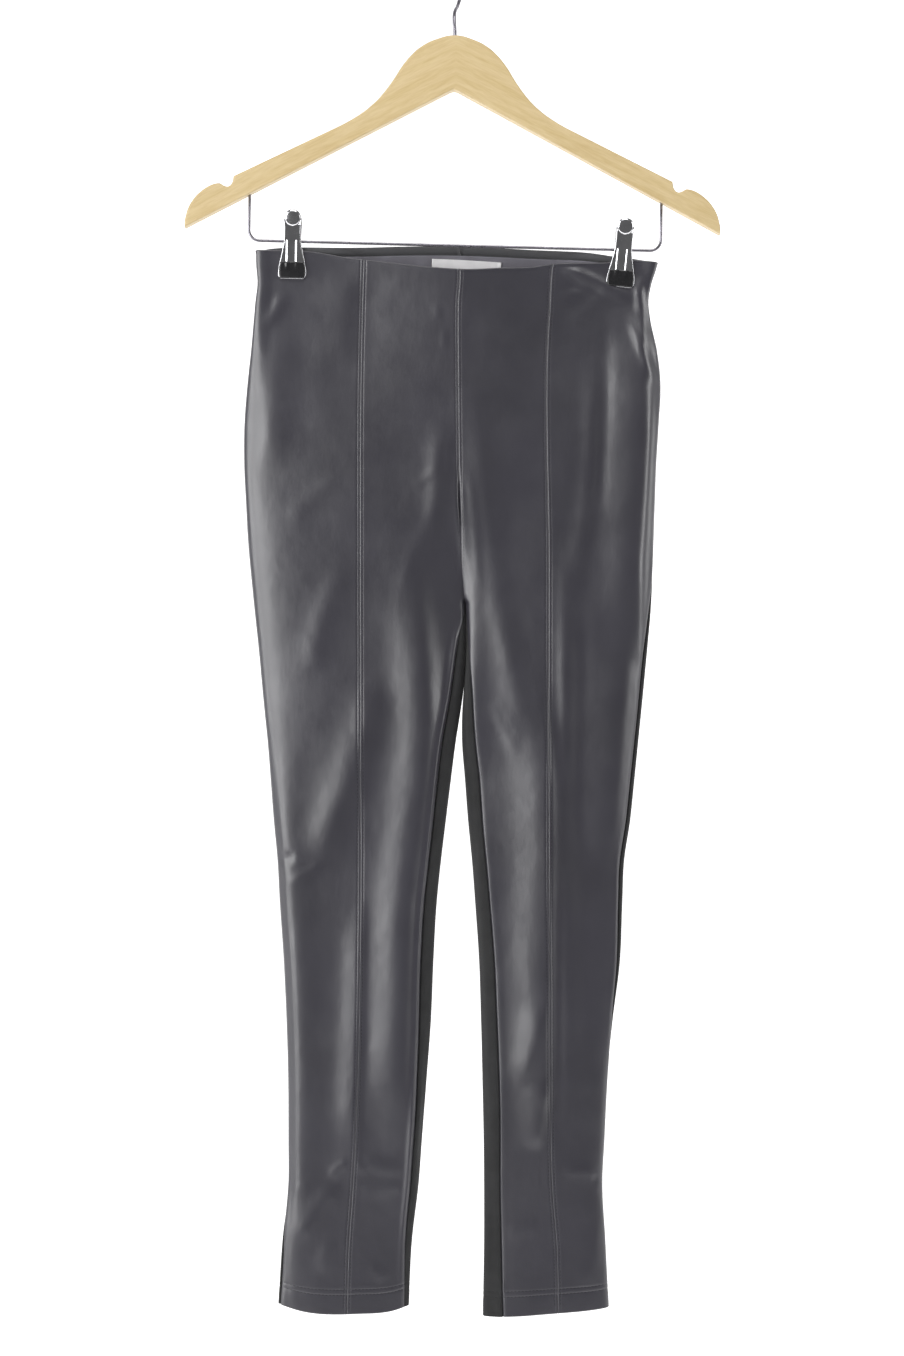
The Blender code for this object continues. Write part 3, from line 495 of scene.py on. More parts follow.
def rows_down():
    """Heights of the rows, closer together at the rolled edge, the hem and its stitching."""
    top = [WAIST_Z - d for d in (0, 0.2, 0.5, 0.9, 1.6, 2.6, 3.8, 5.0, 5.7, 6.1, 6.4, 6.8, 7.3, 8.2,
                                 10.0)]
    hem = [HEM_Z + d for d in (0, 0.2, 0.5, 0.9, 1.6, 3.0, 5.5, 8.5, 11.5, 13.5, 14.5, 15.1, 15.5,
                               15.9, 16.6, 17.5, 18.4, 19.1, 19.5, 19.9, 20.6, 22.0, 24.0)]
    high, low = top[-1], hem[-1]
    count = round((high - low) / ROW_PITCH)
    return np.array(top + [high - (high - low) * i / count for i in range(1, count)] + hem[::-1])


def rim_round(t):
    """How far a rounded edge draws in at a distance from it."""
    t = np.clip(t / RIM, 0.0, 1.0)
    return RIM * (1 - np.sqrt(1 - (1 - t) ** 2))


class Panel:
    """The fine grid of one panel: points, normals, cut lengths and the wall behind them."""

    def __init__(self, leg, kind):
        ends = {"front_inner": ("inner", "princess"), "front_outer": ("princess", "side"),
                "back": ("side", "end")}[kind]
        first_steps = PLAIN if ends[0] == "side" else STITCHED
        last_steps = STITCHED if ends[1] == "princess" else PLAIN
        self.heights = rows_down()
        base, normals, lengths, to_first, to_last, fronts = [], [], [], [], [], []
        for z in self.heights:
            angle, length, weight, seams = leg.section(z)
            first, last = seams[ends[0]], seams[ends[1]]
            inner = np.interp([first + first_steps[-1], last - last_steps[-1]], length, weight)
            middle = np.interp(np.linspace(*inner, CELLS[kind] + 1)[1:-1], weight, length)
            s = np.concatenate([first + np.array(first_steps), middle,
                                last - np.array(last_steps[::-1])])
            turns = np.interp(s, length, angle)
            level = np.full_like(turns, z)
            front = np.sin(turns) >= 0
            level = level + leg.edge_shift(leg.point(turns, level)[:, 0], level, front)
            base.append(leg.point(turns, level))
            normals.append(leg.outward(turns, level))
            lengths.append(s)
            to_first.append(s - first)
            to_last.append(last - s)
            fronts.append(front)
        base, normals = np.array(base), np.array(normals)
        self.lengths = np.array(lengths)
        to_first, to_last, fronts = np.array(to_first), np.array(to_last), np.array(fronts)
        z = self.heights[:, None]
        # Creases fade towards the edges, where front and back meet.
        outer, inner = leg.outer(base[..., 2]), leg.inner(base[..., 2])
        from_edge = np.abs(base[..., 0] - outer)
        fade = smoothstep(from_edge / SIDE_FADE)
        below = z < CROTCH_Z
        from_inner = np.abs(base[..., 0] - inner)
        fade = fade * np.where(below, smoothstep(from_inner / INNER_FADE), 1.0)
        lift = crease_height(fronts, base[..., 0], base[..., 2]) * fade
        # The topstitched centre seam turns into the plain inseam at the crotch, and both are
        # level with the cloth where the two legs press together.
        mix = smoothstep((z - CROTCH_Z - 6.0) / 30.0)
        closed = np.where(z > CROTCH_Z, np.sin(leg.start_angle(z)) ** 3,
                          smoothstep((leg.inseam(z) - 2.0) / 6.0))
        if ends[0] == "inner":
            seams = closed * (mix * stitched_relief(to_first)
                              + (1 - mix) * plain_relief(to_first, leg.rim)
                              - 2.0 * smoothstep((-418.0 - z) / 34.0) * mix * bump(to_first, 1.1))
        else:
            seams = (plain_relief if ends[0] == "side" else stitched_relief)(to_first)
        if ends[1] == "end":
            seams = seams + closed * plain_relief(to_last)
        else:
            seams = seams + (stitched_relief if ends[1] == "princess" else plain_relief)(to_last)
        lift += seams
        from_hem = z - HEM_Z
        lift += hem_relief(from_hem)
        from_top = WAIST_Z - z
        if kind != "back":
            lift += 0.55 * bump(from_top - 1.0, 1.1)
        # What lies on the back's inner face follows it without the groove of the seam.
        flat = lift - seams
        lift -= rim_round(from_top) + rim_round(from_hem)
        wall = np.full(z.shape, WALL)
        wall = np.where(from_hem < HEM_HEIGHT, HEM_WALL, wall)
        if kind == "back":
            roll = np.clip(from_top / ROLL_HEIGHT, 0, 1)
            wall = np.where(from_top <= ROLL_HEIGHT,
                            WALL + (ROLL_WALL - WALL) * np.sqrt(np.sin(np.pi * roll)), wall)
            lift += 0.25 * bump(from_top - 3.2, 2.4) - 0.3 * bump(from_top - 6.6, 0.5)
        wall = wall - rim_round(from_top) - rim_round(from_hem)
        self.normals = normals
        self.points = base + normals * lift[..., None]
        self.inner_points = self.points - normals * np.maximum(wall, 0.3)[..., None]
        self.lining = base + normals * (flat - np.maximum(wall, 0.3))[..., None]
        self.stitch_first = first_steps.index(STITCH_LINE) if first_steps is STITCHED else None
        self.stitch_last = -1 - last_steps.index(STITCH_LINE) if last_steps is STITCHED else None


def grid_mesh(name, outer, inner, lengths, heights):
    """A closed mesh between two grids, with a map of its cut: length across and height."""
    rows, columns = outer.shape[:2]
    half = rows * columns
    points = np.concatenate([outer.reshape(-1, 3), inner.reshape(-1, 3)])
    index = np.arange(half).reshape(rows, columns)
    a, b, c, d = index[:-1, :-1], index[:-1, 1:], index[1:, 1:], index[1:, :-1]
    front = np.stack([a, b, c, d], -1).reshape(-1, 4)
    back = np.stack([a, d, c, b], -1).reshape(-1, 4) + half
    loop = np.concatenate([index[0], index[1:, -1], index[-1, -2::-1], index[-2:0:-1, 0]])
    after = np.roll(loop, -1)
    rim = np.stack([after, loop, loop + half, after + half], -1)
    faces = np.concatenate([front, back, rim])
    cut = np.stack([lengths * MM, np.broadcast_to(heights[:, None], lengths.shape) * MM], -1)
    return closed_mesh(name, points, faces.tolist(), np.concatenate([cut.reshape(-1, 2)] * 2))


class Threads:
    """Stitches gathered into one mesh: short arched strands, dipping at their ends."""

    def __init__(self):
        self.points, self.faces, self.count = [], [], 0

    def run(self, path, normals, pitch=3.0, length=2.45, radius=0.15):
        step = np.linalg.norm(np.diff(path, axis=0), axis=1)
        walked = np.concatenate([[0], np.cumsum(step)])
        total = int((walked[-1] - length) / pitch)
        sides = np.linspace(0, 2 * math.pi, 6)[:-1]
        for i in range(total):
            at = np.array([0.0, 0.28, 0.72, 1.0]) * length + i * pitch + 0.3
            middle = np.stack([np.interp(at, walked, path[:, k]) for k in range(3)], -1)
            up = np.stack([np.interp(at, walked, normals[:, k]) for k in range(3)], -1)
            up = unit(up)
            side = np.cross(unit(middle[-1] - middle[0]), up)
            lift = np.array([-0.12, -0.01, -0.01, -0.12])[:, None]
            middle = middle + up * lift
            size = np.array([0.3, 1.0, 1.0, 0.3])[:, None, None] * radius
            ring = (middle[:, None] + size * (np.cos(sides)[None, :, None] * side[:, None]
                                              + np.sin(sides)[None, :, None] * up[:, None]))
            first, n = self.count, len(sides)
            self.points.append(ring.reshape(-1, 3))
            self.count += 4 * n
            for r in range(3):
                for k in range(n):
                    a, b = first + r * n + k, first + r * n + (k + 1) % n
                    self.faces.append((a, b, b + n, a + n))
            self.faces.append(tuple(first + k for k in range(n))[::-1])
            self.faces.append(tuple(first + 3 * n + k for k in range(n)))

    def mesh(self, name):
        return closed_mesh(name, np.concatenate(self.points), self.faces)


# ------------------------------------------------------------------ materials
class Finish:
    """A node material with helpers for its textures."""

    def __init__(self, name):
        self.material = bpy.data.materials.new(name)
        self.material.use_nodes = True
        self.tree = self.material.node_tree
        self.shader = self.tree.nodes["Principled BSDF"]
        self.where = self.add("ShaderNodeTexCoord")

    def add(self, kind, **values):
        node = self.tree.nodes.new(kind)
        for key, value in values.items():
            if hasattr(node, key):
                setattr(node, key, value)
            else:
                node.inputs[key.replace("_", " ")].default_value = value
        return node

    def link(self, source, target):
        self.tree.links.new(source, target)

    def set(self, **values):
        for key, value in values.items():
            self.shader.inputs[key.replace("_", " ")].default_value = value

    def scaled(self, scale):
        node = self.add("ShaderNodeMapping", Scale=scale)
        self.link(self.where.outputs["Object"], node.inputs["Vector"])
        return node.outputs["Vector"]

    def noise(self, scale, detail=2.0, roughness=0.5, vector=None):
        node = self.add("ShaderNodeTexNoise", Scale=scale, Detail=detail, Roughness=roughness)
        self.link(vector or self.where.outputs["Object"], node.inputs["Vector"])
        return node.outputs["Fac"]

    def ramp(self, source, *stops):
        node = self.add("ShaderNodeValToRGB")
        elements = node.color_ramp.elements
        while len(elements) < len(stops):
            elements.new(0.5)
        for element, (at, colour) in zip(elements, stops):
            element.position = at
            colour = (colour,) * 3 if isinstance(colour, (int, float)) else colour
            element.color = (*colour, 1.0)
        self.link(source, node.inputs["Fac"])
        return node.outputs["Color"]

    def mix(self, factor, a, b, blend="MIX"):
        node = self.add("ShaderNodeMix", data_type="RGBA", blend_type=blend)
        for socket, value in zip((node.inputs[0], node.inputs[6], node.inputs[7]), (factor, a, b)):
            if isinstance(value, bpy.types.NodeSocket):
                self.link(value, socket)
            else:
                socket.default_value = value
        return node.outputs[2]

    def math(self, operation, a, b=0.0):
        node = self.add("ShaderNodeMath", operation=operation)
        for socket, value in zip(node.inputs, (a, b)):
            if isinstance(value, bpy.types.NodeSocket):
                self.link(value, socket)
            else:
                socket.default_value = value
        return node.outputs[0]

    def bumps(self, *layers):
        """Layers of (height, strength, distance in metres), from the coarsest to the finest."""
        normal = None
        for height, strength, distance in layers:
            node = self.add("ShaderNodeBump", Strength=strength, Distance=distance)
            self.link(height, node.inputs["Height"])
            if normal:
                self.link(normal, node.inputs["Normal"])
            normal = node.outputs["Normal"]
        self.link(normal, self.shader.inputs["Normal"])

    def colour(self, source):
        self.link(source, self.shader.inputs["Base Color"])

    def roughness(self, source):
        self.link(source, self.shader.inputs["Roughness"])


def coated_finish():
    """Dark grey coated cloth: a fine grain, a soft even sheen and slight clouding."""
    made = Finish("coated_cloth")
    cloud = made.noise(11.0, 3.0)
    made.colour(made.ramp(cloud, (0.3, (0.0240, 0.0227, 0.0300)), (0.7, (0.0302, 0.0286, 0.0380))))
    made.roughness(made.ramp(made.noise(38.0, 3.0), (0.3, 0.33), (0.72, 0.39)))
    grain = made.add("ShaderNodeTexVoronoi", Scale=1250.0)
    grain.feature = "SMOOTH_F1"
    made.link(made.where.outputs["Object"], grain.inputs["Vector"])
    made.bumps((made.noise(30.0, 2.0), 0.22, 0.0030),
               (made.noise(95.0, 3.0, 0.5, made.scaled((1.0, 1.0, 0.45))), 0.16, 0.0010),
               (made.noise(330.0, 3.0), 0.10, 0.0004), (grain.outputs["Distance"], 0.10, 0.0002))
    made.set(Specular_IOR_Level=0.95, Sheen_Weight=0.06, Sheen_Roughness=0.4)
    return made.material


def knit_finish(name="knit", dark=(0.015, 0.015, 0.0155), light=(0.021, 0.021, 0.022),
                edge=(0.068, 0.068, 0.072)):
    """A close matte jersey: fine wales up the cut and rows of loops across them."""
    made = Finish(name)
    split = made.add("ShaderNodeSeparateXYZ")
    made.link(made.where.outputs["UV"], split.inputs[0])
    wales = made.math("SINE", made.math("MULTIPLY", split.outputs[0], 2 * math.pi / 0.0009))
    loops = made.math("SINE", made.math("MULTIPLY", split.outputs[1], 2 * math.pi / 0.0007))
    stitch = made.math("MULTIPLY_ADD", wales, 0.5)
    made.link(made.math("MULTIPLY", loops, 0.25), stitch.node.inputs[2])
    # The jersey is black, and the default tones are darker still: painted shade, standing in for
    # the shadow on the strips between the legs.
    tone = made.ramp(made.noise(60.0, 4.0), (0.3, dark), (0.7, light))
    # The lighter edge colour is painted light: it fills a band along the top edge of the back,
    # above z = -257.5 mm, where the roll is fully lit.
    place = made.add("ShaderNodeSeparateXYZ")
    made.link(made.where.outputs["Object"], place.inputs[0])
    painted_lit_top = made.math("MULTIPLY_ADD", place.outputs[2], 200.0)
    painted_lit_top.node.inputs[2].default_value = 52.5
    painted_lit_top.node.use_clamp = True
    made.colour(made.mix(painted_lit_top, tone, (*edge, 1.0)) if edge else tone)
    made.set(Roughness=0.86, Specular_IOR_Level=0.3, Sheen_Weight=0.12, Sheen_Roughness=0.5)
    made.bumps((made.noise(300.0, 2.0), 0.15, 0.0004), (stitch, 0.35, 0.0003))
    return made.material


def satin_finish():
    """A woven satin ribbon, without a mark."""
    made = Finish("label")
    weave = made.add("ShaderNodeTexWave", Scale=700.0, Distortion=0.4)
    made.link(made.where.outputs["UV"], weave.inputs["Vector"])
    made.colour(made.ramp(made.noise(120.0), (0.3, (0.69, 0.68, 0.69)), (0.7, (0.75, 0.74, 0.75))))
    made.set(Roughness=0.42, Sheen_Weight=0.2)
    made.bumps((weave.outputs["Fac"], 0.2, 0.0002))
    return made.material


def thread_finish():
    """Matte thread, darker than the cloth."""
    made = Finish("thread")
    made.colour(made.ramp(made.noise(900.0), (0.3, (0.010, 0.010, 0.012)),
                          (0.7, (0.018, 0.018, 0.021))))
    made.set(Roughness=0.75, Specular_IOR_Level=0.2)
    return made.material


def wood_finish():
    """Pale wood: the grain runs out along each arm and meets in a mitre at the middle."""
    made = Finish("wood")
    split = made.add("ShaderNodeSeparateXYZ")
    made.link(made.where.outputs["Object"], split.inputs[0])
    across = made.math("ABSOLUTE", split.outputs[0])
    slope = math.radians(27.0)
    along = made.math("ADD", made.math("MULTIPLY", across, math.cos(slope)),
                      made.math("MULTIPLY", split.outputs[2], -math.sin(slope)))
    height = made.math("ADD", made.math("MULTIPLY", across, math.sin(slope)),
                       made.math("MULTIPLY", split.outputs[2], math.cos(slope)))
    joined = made.add("ShaderNodeCombineXYZ")
    made.link(made.math("MULTIPLY", along, 0.09), joined.inputs[0])
    made.link(height, joined.inputs[2])
    made.link(made.math("MULTIPLY", split.outputs[1], 0.7), joined.inputs[1])
    grain = made.noise(210.0, 5.0, 0.6, joined.outputs[0])
    fine = made.noise(900.0, 3.0, 0.6, joined.outputs[0])
    tone = made.ramp(grain, (0.30, (0.49, 0.364, 0.168)), (0.52, (0.553, 0.429, 0.224)),
                     (0.75, (0.595, 0.472, 0.266)))
    made.colour(made.mix(0.22, tone, made.ramp(fine, (0.35, (0.396, 0.262, 0.12)),
                                               (0.6, (0.60, 0.478, 0.276)))))
    made.roughness(made.ramp(grain, (0.3, 0.42), (0.7, 0.52)))
    made.set(Coat_Weight=0.25, Coat_Roughness=0.3)
    made.bumps((grain, 0.12, 0.0004), (fine, 0.10, 0.0002))
    return made.material


def steel_finish(name, colour, low, high):
    """Bright metal, between two roughnesses."""
    made = Finish(name)
    made.set(Metallic=1.0)
    lighter = tuple(c * 1.08 for c in colour)
    made.colour(made.ramp(made.noise(40.0, 2.0), (0.3, colour), (0.7, lighter)))
    made.roughness(made.ramp(made.noise(160.0, 4.0), (0.35, low), (0.7, high)))
    made.bumps((made.noise(500.0, 2.0), 0.03, 0.0002))
    return made.material


def pad_finish():
    """Glossy black plastic."""
    made = Finish("pad")
    made.colour(made.ramp(made.noise(90.0, 2.0), (0.3, (0.010, 0.010, 0.011)),
                          (0.7, (0.016, 0.016, 0.017))))
    made.roughness(made.ramp(made.noise(220.0, 4.0), (0.3, 0.16), (0.7, 0.26)))
    made.bumps((made.noise(420.0, 2.0), 0.05, 0.0003))
    return made.material


def build_cloth():
    coated, knit, thread = coated_finish(), knit_finish(), thread_finish()
    backs = {}
    for name in ("right", "left"):
        leg = Leg(name)
        threads, hem_threads = Threads(), Threads()
        for kind, finish, slot in (("front_inner", coated, "coated_cloth"),
                                   ("front_outer", coated, "coated_cloth"), ("back", knit, "knit")):
            panel = Panel(leg, kind)
            node = f"{name}_{kind}"
            mesh = grid_mesh(node + "_cloth", panel.points, panel.inner_points, panel.lengths,
                             panel.heights)
            piece = add_object(node + "_cloth", mesh, finish,
                               [f"{node}_{stretch}" for stretch in STRETCHES])
            rows = (panel.heights < WAIST_Z - 1.5) & (panel.heights > HEM_Z + 1.5)
            if panel.stitch_first is not None:
                keep = rows & ((kind == "front_outer") | (panel.heights > CROTCH_Z + 20))
                threads.run(panel.points[keep, panel.stitch_first],
                            panel.normals[keep, panel.stitch_first])
            if panel.stitch_last is not None:
                threads.run(panel.points[rows, panel.stitch_last],
                            panel.normals[rows, panel.stitch_last])
            for line in HEM_LINES:
                row = int(np.argmin(np.abs(panel.heights - HEM_Z - line)))
                hem_threads.run(panel.points[row, 2:-2], panel.normals[row, 2:-2])
            if kind == "back":
                backs[name] = panel
        for part, gathered in (("seam", threads), ("hem", hem_threads)):
            piece = f"{name}_{part}_stitches"
            add_object(piece, gathered.mesh(piece), thread)
    build_waist(backs)


def build_waist(backs):
    """The strip inside the back waist and the blank label on it."""
    right, left = backs["right"], backs["left"]

    def joined(part):
        a, b = getattr(right, part), getattr(left, part)[:, ::-1]
        return np.concatenate([a[:, :-1], (a[:, -1:] + b[:, :1]) / 2, b[:, 1:]], axis=1)

    points, normals = joined("lining"), joined("normals")
    heights = right.heights
    low, high = (np.array(corner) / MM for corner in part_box("back_facing"))
    rows = (heights < WAIST_Z - ROLL_HEIGHT - 0.5) & (heights > WAIST_Z - FACING_HEIGHT)
    middle = points[np.argmax(rows)]
    columns = (middle[:, 0] > low[0]) & (middle[:, 0] < high[0])
    inside = points[rows][:, columns], normals[rows][:, columns]
    lengths = np.cumsum(np.linalg.norm(np.diff(inside[0], axis=1, prepend=inside[0][:, :1]),
                                       axis=2), axis=1)
    outer = inside[0] - inside[1] * 0.25
    lift = (0.25 * np.sin(lengths / 7.0) * smoothstep((heights[rows][:, None] + 262) / 8))
    outer = outer - inside[1] * lift[..., None] * 0.4
    facing = grid_mesh("back_facing_cloth", outer, outer - inside[1] * 1.0, lengths,
                       heights[rows])
    finish = knit_finish("facing_knit", (0.135, 0.130, 0.150), (0.165, 0.160, 0.185),
                         None)
    piece = add_object("back_facing_cloth", facing, finish, ["back_facing"])
    build_label(points, normals, heights)


def build_label(points, normals, heights):
    """A blank satin label, its two ends folded under, standing slightly off at the corners."""
    length, height = LABEL_SPAN[1] - LABEL_SPAN[0], LABEL_HEIGHT
    row = int(np.argmin(np.abs(heights - WAIST_Z + ROLL_HEIGHT + 2)))
    at = points[row, :, 0]
    across = np.concatenate([np.linspace(0, 3, 5), np.linspace(5, length - 5, 20),
                             np.linspace(length - 3, length, 5)])
    down = np.concatenate([[0, 0.3, 0.8, 1.6], np.linspace(3, height, 12)])
    centre = points[:, points.shape[1] // 2, 2]
    columns = np.interp(LABEL_SPAN[0] + across, at, np.arange(len(at)))
    fall = LABEL_FALL * across[None, :] / length
    levels = np.interp(down[:, None] - LABEL_TOP + fall, -centre, np.arange(len(centre)))
    columns = np.broadcast_to(columns[None, :], levels.shape)

    def pick(grid):
        i, j = np.floor(levels).astype(int), np.floor(columns).astype(int)
        s, t = (levels - i)[..., None], (columns - j)[..., None]
        return ((grid[i, j] * (1 - s) + grid[i + 1, j] * s) * (1 - t)
                + (grid[i, j + 1] * (1 - s) + grid[i + 1, j + 1] * s) * t)

    base, out = pick(points), pick(normals)
    end = np.minimum(across, length - across)[None, :]
    lift = 0.35 * bump(end - 1.2, 1.6) + 0.25 * bump(end, 1.0) * (1 - down[:, None] / height)
    lift = lift + 0.15 * np.sin(across / 8.0)[None, :] * (down[:, None] / height)
    outer = base - out * (LABEL_LIE - 0.3 + lift)[..., None]
    lengths = np.broadcast_to(across, lift.shape)
    mesh = grid_mesh("waist_label_cloth", outer, outer - out * 0.55, lengths, LABEL_TOP - down)
    piece = add_object("waist_label_cloth", mesh, satin_finish(), ["waist_label"])


# ------------------------------------------------------------------ the hanger
TILT = math.radians(0.75)
WOOD_THICKNESS = 12.0
WOOD_APEX_Z = -109.4
WOOD_SLOPE = 0.5265
WOOD_HALF_SPAN = 222.6
WOOD_TOP = (
    # x, z
    (0, -64.5), (6.5, -65.1), (12.5, -66.9), (22.5, -70.9), (32.4, -77.8), (42.4, -89.0),
    (51.6, -103.4), (61.6, -116.6), (71.5, -126.2), (81.5, -133.4), (91.5, -139.3),
    (101.5, -144.3), (161.4, -173.6), (182.2, -183.8), (183.6, -189.8), (186.6, -192.4),
    (190.4, -191.6), (193.8, -189.8), (200.5, -191.2), (207.5, -195.4), (214.4, -202.0),
    (219.6, -210.6), (222.2, -220.0),
)
SHARP = ((182.2, -183.8),)
HOOK_WIRE = 1.5
HOOK_RADIUS = 20.0
HOOK_TURN = math.radians(75)
HOOK_SWAY = -2.1
HOOK_TIP = math.radians(-35)
HOOK_RETURN = math.radians(240)
STEM_FOOT_Z = -78.0
BAR_WIRE = 1.2
BAR_CORNER_RADIUS = 9.0


def rounded_line(points, steps=5):
    """A smooth line through points, straight where two of them are far apart."""
    points = np.array(points, float)
    before = np.concatenate([[points[0] * (-1, 1)], points[:-1]])
    before[0] = (-points[1][0], points[1][1])
    after = np.concatenate([points[1:], [2 * points[-1] - points[-2]]])
    line = []
    sharp = [any(np.allclose(p, s) for s in SHARP) for p in points]

    def tangent(i, towards):
        if sharp[i]:
            return towards
        return unit(after[i] - before[i])

    for i, (a, b) in enumerate(zip(points, points[1:])):
        span = np.linalg.norm(b - a)
        chord = (b - a) / span
        out, into = tangent(i, chord) * span, tangent(i + 1, chord) * span
        if span > 25:
            out = into = chord * span
        for k in range(steps):
            t = k / steps
            line.append(a * (1 + 2 * t) * (1 - t) ** 2 + b * t * t * (3 - 2 * t)
                        + out * t * (1 - t) ** 2 - into * t * t * (1 - t))
    line.append(points[-1])
    return np.array(line)


def build_wood():
    """The hanger's arms, with softened edges, as one smooth outline."""
    arm = rounded_line(WOOD_TOP)
    tip = (WOOD_HALF_SPAN - 0.3, WOOD_APEX_Z - WOOD_SLOPE * WOOD_HALF_SPAN)
    right = [tuple(p) for p in arm] + [(WOOD_HALF_SPAN - 0.1, -224.0), tip]
    outline = ([(-x, z) for x, z in reversed(right)] + right[1:]
               + [(3.0, WOOD_APEX_Z - 1.2), (0.0, WOOD_APEX_Z - 0.3), (-3.0, WOOD_APEX_Z - 1.2)])
    mesh = bpy.data.meshes.new("hanger_wood")
    work = bmesh.new()
    depth = WOOD_THICKNESS / 2
    corners = [work.verts.new((x * MM, -depth * MM, z * MM)) for x, z in outline]
    face = work.faces.new(corners)
    back = bmesh.ops.extrude_face_region(work, geom=[face])["geom"]
    moved = [v for v in back if isinstance(v, bmesh.types.BMVert)]
    bmesh.ops.translate(work, verts=moved, vec=(0, 2 * depth * MM, 0))
    bmesh.ops.recalc_face_normals(work, faces=work.faces)
    rim = [e for e in work.edges if abs(e.calc_face_angle(0)) > math.radians(60)
           and abs(e.verts[0].co.y - e.verts[1].co.y) < 0.001]
    bmesh.ops.bevel(work, geom=rim, offset=1.7 * MM, segments=4, profile=0.6, affect="EDGES",
                    clamp_overlap=True)
    bmesh.ops.triangulate(work, faces=[f for f in work.faces if len(f.verts) > 4])
    turn = np.array([[math.cos(TILT), 0, math.sin(TILT)], [0, 1, 0],
                     [-math.sin(TILT), 0, math.cos(TILT)]])
    for vert in work.verts:
        vert.co = turn @ np.array(vert.co)
    work.to_mesh(mesh)
    work.free()
    add_object("hanger_wood", mesh, wood_finish(), ["hanger_body"])
    mesh.set_sharp_from_angle(angle=math.radians(38))


def round_wire(name, path, radius, finish, replaced):
    """A round wire through points in millimetres, as a tube with closed, rounded ends."""
    path = np.array(path, float)
    sides, ring = 14, []
    tangent = unit(np.gradient(path, axis=0))
    across = np.cross(tangent[0], (0.3, 1.0, 0.2))
    angles = np.linspace(0, 2 * math.pi, sides, endpoint=False)
    for place, heading in zip(path, tangent):
        across = unit(across - heading * np.dot(across, heading))
        other = np.cross(heading, across)
        ring.append(place + radius * (np.cos(angles)[:, None] * across
                                      + np.sin(angles)[:, None] * other))
    tip = 0.55 * radius
    first = path[0] - tangent[0] * tip + (ring[0] - path[0]) * 0.6
    last = path[-1] + tangent[-1] * tip + (ring[-1] - path[-1]) * 0.6
    points = np.concatenate([[first], ring, [last]]).reshape(-1, 3)
    rows = len(points) // sides
    faces = []
    for j in range(rows - 1):
        for k in range(sides):
            a, b = j * sides + k, j * sides + (k + 1) % sides
            faces.append((a, b, b + sides, a + sides))
    faces.append(tuple(range(sides))[::-1])
    faces.append(tuple(range((rows - 1) * sides, rows * sides)))
    add_object(name, closed_mesh(name, points, faces), finish, replaced)


def hook_path():
    """The hook's bend, the short return to its stem and the stem, turned and tilted."""
    centre = HOOK_RADIUS + HOOK_WIRE
    flat = []
    for i in range(61):
        angle = HOOK_TIP + (HOOK_RETURN - HOOK_TIP) * i / 60
        flat.append((centre * math.cos(angle), -HOOK_RADIUS + centre * math.sin(angle)))
    heading = HOOK_RETURN + math.pi / 2
    start = flat[-1]
    radius = -start[0] / (math.sin(heading) + 1)
    for i in range(1, 17):
        now = heading - (heading - 1.5 * math.pi) * i / 16
        flat.append((start[0] + radius * (math.sin(heading) - math.sin(now)),
                     start[1] + radius * (math.cos(now) - math.cos(heading))))
    foot = flat[-1][1]
    flat += [(0.0, foot + (STEM_FOOT_Z - foot) * i / 8) for i in range(1, 9)]
    path = []
    for reach, z in flat:
        low, high = -64.0, -10.0
        sway = HOOK_SWAY * math.sin(math.pi * min(max((z - low) / (high - low), 0), 1)) ** 2
        x, y = sway - reach * math.cos(HOOK_TURN), -reach * math.sin(HOOK_TURN)
        path.append((x * math.cos(TILT) + z * math.sin(TILT), y,
                     -x * math.sin(TILT) + z * math.cos(TILT)))
    return path


def bar_path():
    """The bar, down from one arm, along below the hanger and up to the other."""
    path = [BAR_CORNERS[0]]
    for before, corner, after in zip(BAR_CORNERS, BAR_CORNERS[1:], BAR_CORNERS[2:]):
        before, corner, after = (np.array(p, float) for p in (before, corner, after))
        into, away = unit(corner - before), unit(after - corner)
        turn = math.acos(float(np.dot(into, away)))
        reach = BAR_CORNER_RADIUS * math.tan(turn / 2)
        side = unit(away - into * float(np.dot(into, away)))
        for i in range(15):
            angle = turn * i / 14
            path.append(tuple(corner - into * reach + BAR_CORNER_RADIUS * (
                into * math.sin(angle) + side * (1 - math.cos(angle)))))
    path.append(BAR_CORNERS[3])
    return [(x, 0.0, z) for x, z in path]


# ------------------------------------------------------------------ the clips
JAW = (
    # s, half width, distance
    (25.3, 1.6, 8.6), (24.6, 3.4, 8.5), (22.6, 5.6, 8.3), (18.2, 7.1, 7.4), (12.0, 7.0, 5.8),
    (5.0, 7.0, 4.3), (-2.0, 7.3, 3.8), (-8.0, 8.4, 3.4), (-17.0, 10.2, 2.9), (-23.3, 11.4, 2.9),
    (-29.5, 11.1, 2.9), (-31.4, 10.0, 2.9),
)
PAD = (
    # s, half width
    (-17.4, 9.9), (-23.3, 11.1), (-29.0, 10.9), (-31.0, 10.0),
)
DISC_S = 18.2
DISC_RADIUS = 6.6      # of the ring pressed round the thumb end
DISC_EDGE = 7.1
JAW_WALL = 1.0
JAW_LIE = 2.9          # how far a jaw's tip stands from the bar's plane
JAW_END = -31.4
CORNER_S = -28.6       # where the jaw's lower corners start to round
CORNER_HEIGHT = 2.9
FLUTES = (-3.9, 3.8)
PAD_START = -17.4
PAD_END = -31.0


def clip_place(name):
    """A function from the clip's own sizes to the garment's frame."""
    pivot_x, lean, _ = CLIPS[name]
    c, s = math.cos(lean), math.sin(lean)
    turn = np.array([[c, 0, s], [0, 1, 0], [-s, 0, c]])
    base = np.array([pivot_x, 0.0, bar_height(pivot_x)])
    return lambda points: points @ turn.T + base


